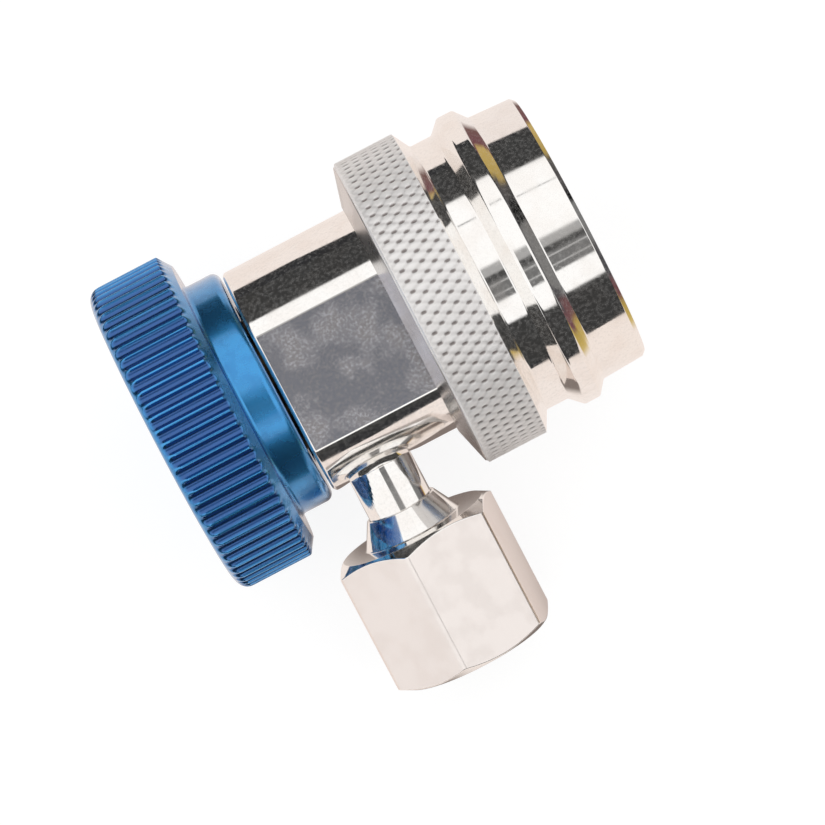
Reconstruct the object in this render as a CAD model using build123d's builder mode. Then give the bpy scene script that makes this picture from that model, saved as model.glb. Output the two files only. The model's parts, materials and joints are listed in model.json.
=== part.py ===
from build123d import *
from math import asin, atan2, cos, hypot, pi, radians, sin, tan
import os

# A quick coupler for a low-side refrigerant service port, lying on its side.
# X is the main axis and points out of the socket. x = 0 is where the socket's straight bore begins.
# Z is up. The nut points to -Y and droops until it rests on the surface beside the knob and the ring.

os.makedirs("parts", exist_ok=True)

# Clearances
running_play = 0.05
seat_play = 0.02
sleeve_play = 0.08
ball_play = 0.05
end_gap = 0.3
hub_gap = 0.3

# Service port that the socket takes
port_radius = 6.5
port_play = 0.15

# Body. The nose runs back from the socket's face, and the bare length from the sleeve's rear end
nose_length = 17.2
bare_length = 14.5
shoulder_height = 2.7
body_edge = 0.3
flat_depth = 1.9
flat_cover = 1.3
nose_play = 0.25
nose_edge = 0.5
socket_lead = 0.6

# Socket, back from x = 0
guide_length = 2.3
relief_length = 8.6
relief_depth = 0.25
socket_depth = 12.9
chamber_radius = 4.5
gland_bore_radius = 6.0
gland_bore_depth = 3.4

# Ball lock
ball_radius = 2.25
ball_count = 6
ball_row = 5.2
ball_bite = 0.6
snap_front = 1.7
snap_thickness = 1.0
snap_depth = 0.7
snap_height = 1.1
snap_gap = 3.0

# Sleeve, outside, from its front end backwards
sleeve_lip = 1.2
mouth_edge = 0.65
mouth_edge_length = 0.8
mouth_wall = 2.05
band_length = 5.2
band_rise = 0.25
rib_front_slope = 1.15
rib_width = 1.8
rib_height = 1.35
rib_rear_slope = 1.35
rib_round = 0.5
root_round = 0.3
waist_length = 2.5
waist_wall = 2.62
ring_front_slope = 1.15
ring_width = 6.75
ring_height = 2.1
ring_edge = 0.4
ring_rear_slope = 1.0
ring_lip = 0.35

# Sleeve, inside
mouth_depth = 2.4
mouth_step = 1.6
release_depth = 1.15
land_start = 2.9
land_length = 4.6
land_edge = 0.4

# Sleeve spring
washer_thickness = 0.6
washer_inset = 0.18
spring_wire = 0.4
spring_turns = 4
spring_height_play = 0.06

# Seal and guide at the socket's bottom
socket_seal_wire = 0.95
bush_length = 2.1
stem_radius = 1.8
stem_half_flat = 1.4
flow_hole_radius = 0.7
flow_hole_count = 4

# Depressor, at rest
depressor_travel = 3.5
depressor_tip = 12.4
tip_radius = 1.1
tip_length = 1.6
tip_edge = 0.3
piston_side_gap = 0.6
piston_play = 0.45
piston_wall = 0.8

# Spindle and gland
screw_radius = 2.95
journal_rise = 0.35
flange_side_gap = 0.4
flange_thickness = 1.0
thrust_thickness = 0.54
gland_head_ledge = 1.0
gland_head_thickness = 2.6
gland_washer_thickness = 0.48
gland_washer_width = 1.6
spindle_seal_wire = 0.7
seal_inset = 0.4
drive_across = 4.6
drive_length = 5.2
drive_short = 0.4

# Knob
rim_radius = 17.7
rim_height = 4.25
rim_width = 9.4
rim_outer_round = 1.5
rim_inner_edge = 1.1
rim_inner_rise = 1.6
hub_length = 3.9
hub_round = 0.9
hub_fillet = 0.5
flute_pitch = 1.46
flute_radius = 0.65
flute_stand = 0.15
recess_room = 2.2
recess_depth = 3.5
dish_border = 4.1
dish_depth = 1.0
screw_well_radius = 5.0

# Knob screw
knob_screw_radius = 1.25
knob_screw_length = 4.8
knob_head_radius = 2.7
knob_head_flat = 0.9
knob_head_edge = 0.6
knob_head_height = 1.8
knob_socket_across = 2.5
knob_socket_depth = 1.1
knob_washer_radius = 4.2
knob_washer_thickness = 0.8

# Side port, ahead of the body's rear end, and post
port_inset = 5.4
spot_radius = 5.2
spot_depth = 0.55
post_thread_length = 4.95
post_washer_thickness = 0.6
post_wall = 1.25
post_step = 0.6
post_length = 12.2
post_flange_gap = 0.6
post_flange_step = 2.0
post_flange_thickness = 1.8
spigot_wall = 0.95
spigot_length = 1.2
key_ledge = 0.25
key_depth = 3.0
gasket_thickness = 1.7
nut_washer_thickness = 0.4

# Nut, turned round the side port
nut_across = 17.0
nut_sides = 6
nut_corner_trim = 0.115
nut_face_inset = 0.3
nut_length = 15.1
nut_chamfer = 30.0
nut_wall = 3.7
nut_turn = 41.0
collar_length = 2.8
collar_width = 1.85
collar_lip = 0.3
thread_radius = 6.2
thread_relief = 0.35
thread_lead = 0.8

# Radii round the main axis, from the service port outwards
socket_radius = port_radius + port_play
ball_centre_radius = port_radius - ball_bite + ball_radius
land_radius = ball_centre_radius + ball_radius + ball_play
nose_radius = land_radius - nose_play
body_radius = nose_radius + shoulder_height
flat_half = body_radius - flat_depth
sleeve_bore_radius = body_radius + sleeve_play
release_radius = land_radius + release_depth
mouth_radius = release_radius + mouth_step
band_radius = mouth_radius + mouth_wall
waist_radius = sleeve_bore_radius + waist_wall
rib_radius = waist_radius + rib_height
ring_radius = waist_radius + ring_height
hub_radius = rim_radius - rim_height

# Places along the main axis
socket_face = socket_lead
sleeve_front = socket_face + sleeve_lip
band_rear = sleeve_front - band_length
rib_front = band_rear - rib_front_slope
rib_rear = rib_front - rib_width
waist_front = rib_rear - rib_rear_slope
waist_rear = waist_front - waist_length
ring_front = waist_rear - ring_front_slope
ring_rear = ring_front - ring_width
sleeve_rear = ring_rear - ring_edge - ring_rear_slope
nose_rear = socket_face - nose_length
body_rear = sleeve_rear - bare_length
flats_front = sleeve_rear + flat_cover
port_x = body_rear + port_inset
gland_floor = body_rear + gland_bore_depth
hub_front = body_rear - hub_gap
rim_front = hub_front - hub_length
knob_outer = rim_front - rim_width
bush_rear = -socket_depth - bush_length

# Radii round the side port's axis, from the hose's thread inwards
post_flange_radius = thread_radius - post_flange_gap
post_radius = post_flange_radius - post_flange_step
post_thread_radius = post_radius - post_step
passage_radius = post_thread_radius - post_wall

# Distances from the main axis along the side port
spot_floor = body_radius - spot_depth
post_hole_floor = spot_floor - post_thread_length
shoulder = spot_floor + seat_play
flange_start = shoulder + post_length
flange_end = flange_start + post_flange_thickness
nut_washer_end = flange_start - running_play
nut_washer_start = nut_washer_end - nut_washer_thickness
nut_floor = nut_washer_start - seat_play
nut_start = nut_floor - nut_wall
nut_end = nut_start + nut_length
collar_start = nut_start - collar_length

# Outline of the nut's corners
nut_half_sector = 180 / nut_sides
nut_face_radius = nut_across / 2 - nut_face_inset
nut_corner_radius = nut_across / 2 / cos(radians(nut_half_sector)) - nut_corner_trim
corner_drop = (nut_corner_radius - nut_face_radius) * tan(radians(nut_chamfer))

# The part lies on the knob's rim, the sleeve's ring and the nut's lowest corner, which gives the roll
rest_radius = max(rim_radius, ring_radius)
corner_reach = nut_end - corner_drop
corner_depth = nut_corner_radius * cos(radians(nut_half_sector - nut_turn))
corner_angle = atan2(corner_depth, corner_reach)
roll = asin(rest_radius / hypot(corner_reach, corner_depth)) - corner_angle

# Frames of the side port: along it, and through it beside the main axis
port_direction = (0, -cos(roll), -sin(roll))
port_origin = (port_x, 0, 0)
port_axis = Axis(port_origin, port_direction)
port_plane = Plane(origin=port_origin, x_dir=(1, 0, 0), z_dir=port_direction)
port_section = Plane(origin=port_origin, x_dir=(1, 0, 0), z_dir=(0, sin(roll), -cos(roll)))
rolled = Plane(origin=(0, 0, 0), x_dir=(1, 0, 0), z_dir=(0, -sin(roll), cos(roll)))


def turn(points, mode=Mode.ADD):
    """Turn a closed outline of (x, radius) points round the main axis."""
    with BuildSketch(Plane.XY, mode=Mode.PRIVATE) as outline:
        with BuildLine():
            Polyline(*points, close=True)
        make_face()
    revolve(outline.sketch, axis=Axis.X, mode=mode)


def turn_on_port(points, mode=Mode.ADD):
    """Turn a closed outline of (radius, distance from the main axis) points round the side port's axis."""
    with BuildSketch(port_section, mode=Mode.PRIVATE) as outline:
        with BuildLine():
            Polyline(*points, close=True)
        make_face()
    revolve(outline.sketch, axis=port_axis, mode=mode)


def ring_points(front, rear, inner, outer):
    """Outline of a plain ring on the main axis."""
    return [(front, inner), (front, outer), (rear, outer), (rear, inner)]


def across(x):
    """Plane square to the main axis at x, facing out of the socket."""
    return Plane(origin=(x, 0, 0), x_dir=(0, 1, 0), z_dir=(1, 0, 0))


# Sleeve: stepped and ribbed outside, locking land and spring chamber inside
land_front = -land_start
land_rear = land_front - land_length
with BuildPart() as sleeve:
    with BuildSketch(Plane.XY) as sleeve_outline:
        with BuildLine():
            Polyline(
                (sleeve_front, mouth_radius),
                (sleeve_front, band_radius - mouth_edge),
                (sleeve_front - mouth_edge_length, band_radius),
                (band_rear, band_radius + band_rise),
                (rib_front, rib_radius),
                (rib_rear, rib_radius),
                (waist_front, waist_radius),
                (waist_rear, waist_radius),
                (ring_front, ring_radius),
                (ring_rear, ring_radius),
                (ring_rear - ring_edge, ring_radius - ring_edge),
                (sleeve_rear, sleeve_bore_radius + ring_lip),
                (sleeve_rear, sleeve_bore_radius),
                (land_rear, sleeve_bore_radius),
                (land_rear, land_radius),
                (land_front - land_edge, land_radius),
                (land_front, land_radius + land_edge),
                (land_front, release_radius),
                (sleeve_front - mouth_depth, release_radius),
                close=True,
            )
        make_face()
        for crest in (rib_front, rib_rear):
            fillet(sleeve_outline.vertices().sort_by_distance((crest, rib_radius))[0], rib_round)
        for root in (band_rear, waist_front, waist_rear):
            fillet(sleeve_outline.vertices().sort_by_distance((root, waist_radius))[0], root_round)
    revolve(axis=Axis.X)
sleeve.part.label = "sleeve"
export_step(sleeve.part, "parts/sleeve.step")

# Pockets for the balls: round-bottomed holes that let each ball stand into the socket
with BuildPart(across(-ball_row), mode=Mode.PRIVATE) as ball_pockets:
    with PolarLocations(ball_centre_radius, ball_count):
        Sphere(ball_radius + ball_play)
        Cylinder(
            ball_radius + ball_play,
            nose_radius,
            rotation=(0, 90, 0),
            align=(Align.CENTER, Align.CENTER, Align.MIN),
        )

# Body: nose, socket, chamber and gland bore turned, flats milled, balls' holes and side port drilled
snap_rear = -snap_front - snap_thickness
snap_floor = nose_radius - snap_depth
relief_rear = -guide_length - relief_length
with BuildPart() as body:
    turn(
        [
            (socket_face, socket_radius + socket_lead),
            (socket_face, nose_radius - nose_edge),
            (socket_face - nose_edge, nose_radius),
            (-snap_front + running_play, nose_radius),
            (-snap_front + running_play, snap_floor),
            (snap_rear - running_play, snap_floor),
            (snap_rear - running_play, nose_radius),
            (nose_rear, nose_radius),
            (nose_rear, body_radius - body_edge),
            (nose_rear - body_edge, body_radius),
            (body_rear + body_edge, body_radius),
            (body_rear, body_radius - body_edge),
            (body_rear, gland_bore_radius),
            (gland_floor, gland_bore_radius),
            (gland_floor, chamber_radius),
            (-socket_depth, chamber_radius),
            (-socket_depth, socket_radius),
            (relief_rear, socket_radius),
            (relief_rear, socket_radius + relief_depth),
            (-guide_length, socket_radius + relief_depth),
            (-guide_length, socket_radius),
            (0, socket_radius),
        ]
    )
    for side in (1, -1):
        with BuildSketch(rolled.offset(side * flat_half)):
            with Locations((flats_front, 0)):
                Rectangle(
                    flats_front - body_rear,
                    2 * body_radius,
                    align=(Align.MAX, Align.CENTER),
                )
        extrude(amount=side * body_radius, mode=Mode.SUBTRACT)
    add(ball_pockets.part, mode=Mode.SUBTRACT)
    with BuildSketch(port_plane.offset(spot_floor)):
        Circle(spot_radius)
    extrude(amount=body_radius, mode=Mode.SUBTRACT)
    with BuildSketch(port_plane.offset(post_hole_floor)):
        Circle(post_thread_radius + seat_play)
    extrude(amount=body_radius, mode=Mode.SUBTRACT)
    with BuildSketch(port_plane):
        Circle(passage_radius)
    extrude(amount=body_radius, mode=Mode.SUBTRACT)
body.part.label = "body"
export_step(body.part, "parts/body.step")

# Six steel balls, trapped between the pockets and the sleeve's land
with BuildPart(across(-ball_row)) as locking_balls:
    with PolarLocations(ball_centre_radius, ball_count):
        Sphere(ball_radius)
locking_balls.part.label = "locking_balls"
export_step(locking_balls.part, "parts/locking_balls.step")

# Open ring in the nose's groove, where the sleeve's land stops
with BuildPart() as snap_ring:
    turn(
        ring_points(
            -snap_front,
            snap_rear,
            snap_floor + running_play,
            nose_radius + snap_height,
        )
    )
    with BuildSketch(across(snap_rear)):
        Rectangle(snap_gap, 2 * body_radius, align=(Align.CENTER, Align.MIN))
    extrude(amount=snap_thickness, mode=Mode.SUBTRACT)
snap_ring.part.label = "snap_ring"
export_step(snap_ring.part, "parts/snap_ring.step")

# Washer between the sleeve's shoulder and the spring
washer_front = land_rear - seat_play
washer_rear = washer_front - washer_thickness
with BuildPart() as spring_washer:
    turn(ring_points(washer_front, washer_rear, land_radius, sleeve_bore_radius - washer_inset))
spring_washer.part.label = "spring_washer"
export_step(spring_washer.part, "parts/spring_washer.step")

# Spring round the nose, from the washer to the body's shoulder
spring_front = washer_rear - spring_height_play - spring_wire
spring_height = spring_front - nose_rear - spring_height_play - spring_wire
spring_radius = (nose_radius + sleeve_bore_radius) / 2
with BuildPart() as sleeve_spring:
    with BuildLine() as coil:
        Helix(
            spring_height / spring_turns,
            spring_height,
            spring_radius,
            center=(spring_front, 0, 0),
            direction=(-1, 0, 0),
        )
    with BuildSketch(Plane(origin=coil.line @ 0, z_dir=coil.line % 0)):
        Circle(spring_wire)
    sweep()
sleeve_spring.part.label = "sleeve_spring"
export_step(sleeve_spring.part, "parts/sleeve_spring.step")

# O-ring on the socket's floor
with BuildPart() as socket_seal:
    with BuildSketch(Plane.XY):
        with Locations(
            (
                -socket_depth + seat_play + socket_seal_wire,
                socket_radius - seat_play - socket_seal_wire,
            )
        ):
            Circle(socket_seal_wire)
    revolve(axis=Axis.X)
socket_seal.part.label = "socket_seal"
export_step(socket_seal.part, "parts/socket_seal.step")

# Bush in the chamber's mouth: a flatted hole guides the depressor, flow holes stand round it
flow_ring_radius = (stem_radius + chamber_radius) / 2
with BuildPart() as guide_bush:
    turn(ring_points(-socket_depth, bush_rear, 0, chamber_radius - seat_play))
    with BuildSketch(across(bush_rear)):
        Circle(stem_radius + running_play)
        Rectangle(
            2 * chamber_radius,
            2 * (stem_half_flat + running_play),
            mode=Mode.INTERSECT,
        )
    extrude(amount=bush_length, mode=Mode.SUBTRACT)
    with BuildSketch(across(bush_rear)):
        with PolarLocations(flow_ring_radius, flow_hole_count, start_angle=45):
            Circle(flow_hole_radius)
    extrude(amount=bush_length, mode=Mode.SUBTRACT)
guide_bush.part.label = "guide_bush"
export_step(guide_bush.part, "parts/guide_bush.step")

# Depressor: pointed pin, flatted stem and hollow piston with the screw's thread inside
piston_radius = chamber_radius - piston_side_gap
piston_front = bush_rear - depressor_travel - end_gap
piston_rear = port_x + passage_radius + piston_play
with BuildPart() as depressor:
    with BuildSketch(across(piston_front)):
        Circle(stem_radius)
        Rectangle(2 * chamber_radius, 2 * stem_half_flat, mode=Mode.INTERSECT)
    extrude(amount=-depressor_tip - tip_length - piston_front)
    turn(
        [
            (-depressor_tip, 0),
            (-depressor_tip, tip_radius - tip_edge),
            (-depressor_tip - tip_edge, tip_radius),
            (-depressor_tip - tip_length, tip_radius),
            (-depressor_tip - tip_length, 0),
        ]
    )
    turn(
        [
            (piston_front, 0),
            (piston_front, piston_radius),
            (piston_rear, piston_radius),
            (piston_rear, screw_radius + running_play),
            (piston_front - piston_wall, screw_radius + running_play),
            (piston_front - piston_wall, 0),
        ]
    )
depressor.part.label = "depressor"
export_step(depressor.part, "parts/depressor.step")

# Spindle: screw, trapped flange, journal and square end with a tapped hole for the knob's screw
journal_radius = screw_radius + journal_rise
flange_radius = gland_bore_radius - flange_side_gap
flange_front = gland_floor - running_play
flange_rear = flange_front - flange_thickness
web_front = hub_front - recess_depth
drive_front = web_front + seat_play
drive_rear = drive_front - drive_length
with BuildPart() as spindle:
    turn(
        [
            (piston_front - piston_wall - end_gap, 0),
            (piston_front - piston_wall - end_gap, screw_radius),
            (flange_front, screw_radius),
            (flange_front, flange_radius),
            (flange_rear, flange_radius),
            (flange_rear, journal_radius),
            (drive_front, journal_radius),
            (drive_front, 0),
        ]
    )
    with BuildSketch(across(drive_rear)):
        Rectangle(drive_across, drive_across)
    extrude(amount=drive_length)
    with BuildSketch(across(drive_rear)):
        Circle(knob_screw_radius + seat_play)
    extrude(amount=drive_length, mode=Mode.SUBTRACT)
spindle.part.label = "spindle"
export_step(spindle.part, "parts/spindle.step")

# Plastic washer behind the spindle's flange
thrust_front = flange_rear - seat_play
thrust_rear = thrust_front - thrust_thickness
with BuildPart() as thrust_washer:
    turn(
        ring_points(
            thrust_front,
            thrust_rear,
            journal_radius + running_play,
            gland_bore_radius - running_play,
        )
    )
thrust_washer.part.label = "thrust_washer"
export_step(thrust_washer.part, "parts/thrust_washer.step")

# Sealing washer between the gland nut's head and the body
gland_washer_front = body_rear - seat_play
gland_washer_rear = gland_washer_front - gland_washer_thickness
with BuildPart() as gland_washer:
    turn(
        ring_points(
            gland_washer_front,
            gland_washer_rear,
            gland_bore_radius + running_play,
            gland_bore_radius + gland_washer_width,
        )
    )
gland_washer.part.label = "gland_washer"
export_step(gland_washer.part, "parts/gland_washer.step")

# Gland nut: threaded nose, hexagonal head and a groove for the spindle's seal
gland_front = thrust_rear - seat_play
head_front = gland_washer_rear - seat_play
head_rear = head_front - gland_head_thickness
gland_head_half = gland_bore_radius + gland_head_ledge
seal_groove_radius = journal_radius + 2 * (spindle_seal_wire + running_play)
seal_front = head_front - seal_inset
seal_rear = seal_front - 2 * (spindle_seal_wire + running_play)
with BuildPart() as gland_nut:
    with BuildSketch(across(head_rear)):
        RegularPolygon(gland_head_half, 6, major_radius=False)
    extrude(amount=gland_head_thickness)
    turn(ring_points(gland_front, head_front, 0, gland_bore_radius - seat_play))
    turn(
        [
            (gland_front, 0),
            (gland_front, journal_radius + running_play),
            (seal_front, journal_radius + running_play),
            (seal_front, seal_groove_radius),
            (seal_rear, seal_groove_radius),
            (seal_rear, journal_radius + running_play),
            (head_rear, journal_radius + running_play),
            (head_rear, 0),
        ],
        mode=Mode.SUBTRACT,
    )
gland_nut.part.label = "gland_nut"
export_step(gland_nut.part, "parts/gland_nut.step")

# O-ring in the gland nut's groove
with BuildPart() as spindle_seal:
    with BuildSketch(Plane.XY):
        with Locations(((seal_front + seal_rear) / 2, (journal_radius + seal_groove_radius) / 2)):
            Circle(spindle_seal_wire)
    revolve(axis=Axis.X)
spindle_seal.part.label = "spindle_seal"
export_step(spindle_seal.part, "parts/spindle_seal.step")

# Knob: hub and fluted rim in one piece, recessed on both sides
web_rear = drive_rear - drive_short
dish_floor = knob_outer + dish_depth
dish_radius = rim_radius - dish_border
hub_recess_radius = gland_head_half + recess_room
flute_count = round(2 * pi * rim_radius / flute_pitch)
with BuildPart() as knob:
    with BuildSketch(Plane.XY) as knob_outline:
        with BuildLine():
            Polyline(
                (web_front, 0),
                (web_front, hub_recess_radius),
                (hub_front, hub_recess_radius),
                (hub_front, hub_radius),
                (rim_front, hub_radius),
                (rim_front, rim_radius - rim_inner_rise),
                (rim_front - rim_inner_edge, rim_radius),
                (knob_outer, rim_radius),
                (knob_outer, dish_radius),
                (dish_floor, dish_radius - dish_depth),
                (dish_floor, screw_well_radius),
                (web_rear, screw_well_radius),
                (web_rear, 0),
                close=True,
            )
        make_face()
        fillet(knob_outline.vertices().sort_by_distance((hub_front, hub_radius))[0], hub_round)
        fillet(knob_outline.vertices().sort_by_distance((rim_front, hub_radius))[0], hub_fillet)
        fillet(knob_outline.vertices().sort_by_distance((knob_outer, rim_radius))[0], rim_outer_round)
    revolve(axis=Axis.X)
    with BuildSketch(across(knob_outer)):
        with PolarLocations(rim_radius + flute_stand, flute_count):
            Circle(flute_radius)
    extrude(amount=rim_width, mode=Mode.SUBTRACT)
    with BuildSketch(across(web_rear)):
        Rectangle(drive_across + 2 * running_play, drive_across + 2 * running_play)
    extrude(amount=web_front - web_rear, mode=Mode.SUBTRACT)
knob.part.label = "knob"
export_step(knob.part, "parts/knob.step")

# Washer and button-head screw that hold the knob on the spindle
knob_washer_front = web_rear - seat_play
knob_washer_rear = knob_washer_front - knob_washer_thickness
with BuildPart() as knob_washer:
    turn(
        ring_points(
            knob_washer_front,
            knob_washer_rear,
            knob_screw_radius + seat_play,
            knob_washer_radius,
        )
    )
knob_washer.part.label = "knob_washer"
export_step(knob_washer.part, "parts/knob_washer.step")

screw_head_front = knob_washer_rear - seat_play
screw_head_rear = screw_head_front - knob_head_height
with BuildPart() as knob_screw:
    turn(
        [
            (screw_head_front + knob_screw_length, 0),
            (screw_head_front + knob_screw_length, knob_screw_radius),
            (screw_head_front, knob_screw_radius),
            (screw_head_front, knob_head_radius),
            (screw_head_front - knob_head_edge, knob_head_radius),
            (screw_head_rear, knob_head_radius - knob_head_flat),
            (screw_head_rear, 0),
        ]
    )
    with BuildSketch(across(screw_head_rear)):
        RegularPolygon(knob_socket_across / 2, 6, major_radius=False)
    extrude(amount=knob_socket_depth, mode=Mode.SUBTRACT)
knob_screw.part.label = "knob_screw"
export_step(knob_screw.part, "parts/knob_screw.step")

# Crush washer on the floor of the post's hole
post_washer_top = post_hole_floor + seat_play + post_washer_thickness
with BuildPart() as post_washer:
    turn_on_port(
        [
            (passage_radius, post_hole_floor + seat_play),
            (post_thread_radius - seat_play, post_hole_floor + seat_play),
            (post_thread_radius - seat_play, post_washer_top),
            (passage_radius, post_washer_top),
        ]
    )
post_washer.part.label = "post_washer"
export_step(post_washer.part, "parts/post_washer.step")

# Post: threaded end, stem, flange inside the nut and a spigot for the gasket, drilled through
spigot_radius = passage_radius + spigot_wall
spigot_end = flange_end + spigot_length
with BuildPart() as post:
    turn_on_port(
        [
            (passage_radius, post_washer_top + seat_play),
            (post_thread_radius, post_washer_top + seat_play),
            (post_thread_radius, shoulder),
            (post_radius, shoulder),
            (post_radius, flange_start),
            (post_flange_radius, flange_start),
            (post_flange_radius, flange_end),
            (spigot_radius, flange_end),
            (spigot_radius, spigot_end),
            (passage_radius, spigot_end),
        ]
    )
    with BuildSketch(port_plane.offset(spigot_end - key_depth)):
        RegularPolygon(passage_radius + key_ledge, 6, major_radius=False)
    extrude(amount=key_depth, mode=Mode.SUBTRACT)
post.part.label = "post"
export_step(post.part, "parts/post.step")

# Rubber gasket round the spigot
gasket_start = flange_end + seat_play
gasket_end = gasket_start + gasket_thickness
with BuildPart() as hose_gasket:
    turn_on_port(
        [
            (spigot_radius + seat_play, gasket_start),
            (post_flange_radius, gasket_start),
            (post_flange_radius, gasket_end),
            (spigot_radius + seat_play, gasket_end),
        ]
    )
hose_gasket.part.label = "hose_gasket"
export_step(hose_gasket.part, "parts/hose_gasket.step")

# Slip washer between the nut's floor and the post's flange
with BuildPart() as nut_washer:
    turn_on_port(
        [
            (post_radius + running_play, nut_washer_start),
            (post_flange_radius, nut_washer_start),
            (post_flange_radius, nut_washer_end),
            (post_radius + running_play, nut_washer_end),
        ]
    )
nut_washer.part.label = "nut_washer"
export_step(nut_washer.part, "parts/nut_washer.step")

# Nut: hexagon bar turned to a collar and chamfered ends, bored for the post and for the hose's thread
thread_start = gasket_end + running_play
collar_radius = post_radius + running_play + collar_width
with BuildPart() as nut:
    with BuildSketch(port_plane.offset(collar_start)):
        RegularPolygon(nut_across / 2, nut_sides, major_radius=False, rotation=nut_turn)
    extrude(amount=nut_end - collar_start)
    turn_on_port(
        [
            (0, collar_start),
            (post_radius + running_play + collar_lip, collar_start),
            (collar_radius, nut_start),
            (nut_face_radius, nut_start),
            (nut_corner_radius, nut_start + corner_drop),
            (nut_corner_radius, nut_end - corner_drop),
            (nut_face_radius, nut_end),
            (0, nut_end),
        ],
        mode=Mode.INTERSECT,
    )
    turn_on_port(
        [
            (0, collar_start),
            (post_radius + running_play, collar_start),
            (post_radius + running_play, nut_floor),
            (thread_radius + thread_relief, nut_floor),
            (thread_radius + thread_relief, thread_start),
            (thread_radius, thread_start),
            (thread_radius, nut_end - thread_lead),
            (thread_radius + thread_lead, nut_end),
            (0, nut_end),
        ],
        mode=Mode.SUBTRACT,
    )
nut.part.label = "nut"
export_step(nut.part, "parts/nut.step")
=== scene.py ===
"""Looks of a refrigerant service coupler, dressed round its packed construction.

The coupler lies on a pale floor. X is its main axis and points out of the socket, Z is up, and the
hose nut points to -Y. Sizes in the classes are millimetres, measured as a maker would: along an
axis, and as radii from it. Meshes are made in metres, in the frame of the construction.
"""

import json
import logging
from dataclasses import dataclass, field
from enum import Enum
from math import acos, asin, atan2, ceil, cos, degrees, hypot, pi, radians, sin, sqrt, tan
from typing import Callable, Sequence

import bmesh
import bpy
from mathutils import Matrix, Vector


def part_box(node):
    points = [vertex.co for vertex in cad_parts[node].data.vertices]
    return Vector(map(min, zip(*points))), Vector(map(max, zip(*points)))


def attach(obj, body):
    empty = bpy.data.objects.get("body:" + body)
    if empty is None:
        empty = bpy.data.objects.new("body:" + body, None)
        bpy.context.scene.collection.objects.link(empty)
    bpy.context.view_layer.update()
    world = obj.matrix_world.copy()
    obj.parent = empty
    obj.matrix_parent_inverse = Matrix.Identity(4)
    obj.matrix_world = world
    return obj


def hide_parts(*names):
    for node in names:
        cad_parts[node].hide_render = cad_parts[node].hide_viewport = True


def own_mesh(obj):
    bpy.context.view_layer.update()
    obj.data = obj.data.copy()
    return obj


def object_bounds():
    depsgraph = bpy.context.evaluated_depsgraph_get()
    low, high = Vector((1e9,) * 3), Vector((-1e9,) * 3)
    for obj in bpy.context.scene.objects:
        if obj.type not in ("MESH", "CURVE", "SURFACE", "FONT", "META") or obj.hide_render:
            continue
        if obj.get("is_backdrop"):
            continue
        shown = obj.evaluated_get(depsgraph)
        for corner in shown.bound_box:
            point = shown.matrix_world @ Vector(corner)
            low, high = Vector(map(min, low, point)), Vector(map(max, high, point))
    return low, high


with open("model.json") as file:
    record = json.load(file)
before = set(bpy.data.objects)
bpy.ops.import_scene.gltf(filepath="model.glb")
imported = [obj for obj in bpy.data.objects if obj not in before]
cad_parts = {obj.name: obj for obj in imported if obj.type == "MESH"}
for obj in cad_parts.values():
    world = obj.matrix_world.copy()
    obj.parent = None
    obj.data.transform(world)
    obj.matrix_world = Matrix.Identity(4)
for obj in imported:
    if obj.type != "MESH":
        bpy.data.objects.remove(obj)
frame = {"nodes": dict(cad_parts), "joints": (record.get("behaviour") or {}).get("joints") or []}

LOG = logging.getLogger("coupler")
MM = 0.001

# A straight stretch keeps its shading flat up to this distance from a rounded corner, in mm
GUARD = 0.03
GUARD_SHARE = 0.02
ROUNDING_SHARE = 0.48

# Turn of an outline, in radians, below which it counts as straight, and lengths in mm that count as none
STRAIGHT = 1e-4
TINY = 1e-3
MERGE_DISTANCE = 1e-8

# Painted shade in the knurl: where its pits turn dark, as shares of a crossing's depth, and how dark the
# painted shade in its lines between is
PIT_SHADE = (0.04, 0.45)
KNURL_LINE_SHADE = 0.24

# Where painted shade darkens a flute's valley, as shares of its depth, and where that painted shade ends
# inside the rim
VALLEY_SHADE = (0.0, 0.6)
RIM_SHADE = (0.2, 1.4)

# Where a thread's flank begins and ends, as shares of half its pitch
THREAD_FLANK = (0.12, 0.85)

# Smoothness of the wound and the round parts
COIL_STEPS = 48
WIRE_STEPS = 20
BALL_SEGMENTS = 64
RING_COLUMNS = 96

PATCH_RANGE = (0.40, 0.66)
COAT_ROUGHNESS = 0.12

Point = tuple[float, float]
Colour = tuple[float, float, float]


@dataclass(frozen=True)
class Corner:
    """A corner of a turned outline: its place along the axis, its radius from it, and its rounding."""

    along: float
    radius: float
    rounding: float = 0.0
    steps: int = 3


@dataclass(frozen=True)
class TurningAxis:
    """An axis that pieces are turned round, with the direction that angles are counted from."""

    origin: Vector
    along: Vector
    zero: Vector

    def point(self, along: float, radius: float, angle: float) -> Vector:
        """Place of a point of a turned piece.

        Args:
            along: Distance from the origin along the axis, in mm.
            radius: Distance from the axis, in mm.
            angle: Angle round the axis, in radians.

        Returns:
            The point in the frame, in metres.
        """
        side = self.along.cross(self.zero)
        out = self.zero * cos(angle) + side * sin(angle)
        return self.origin + (self.along * along + out * radius) * MM


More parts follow.
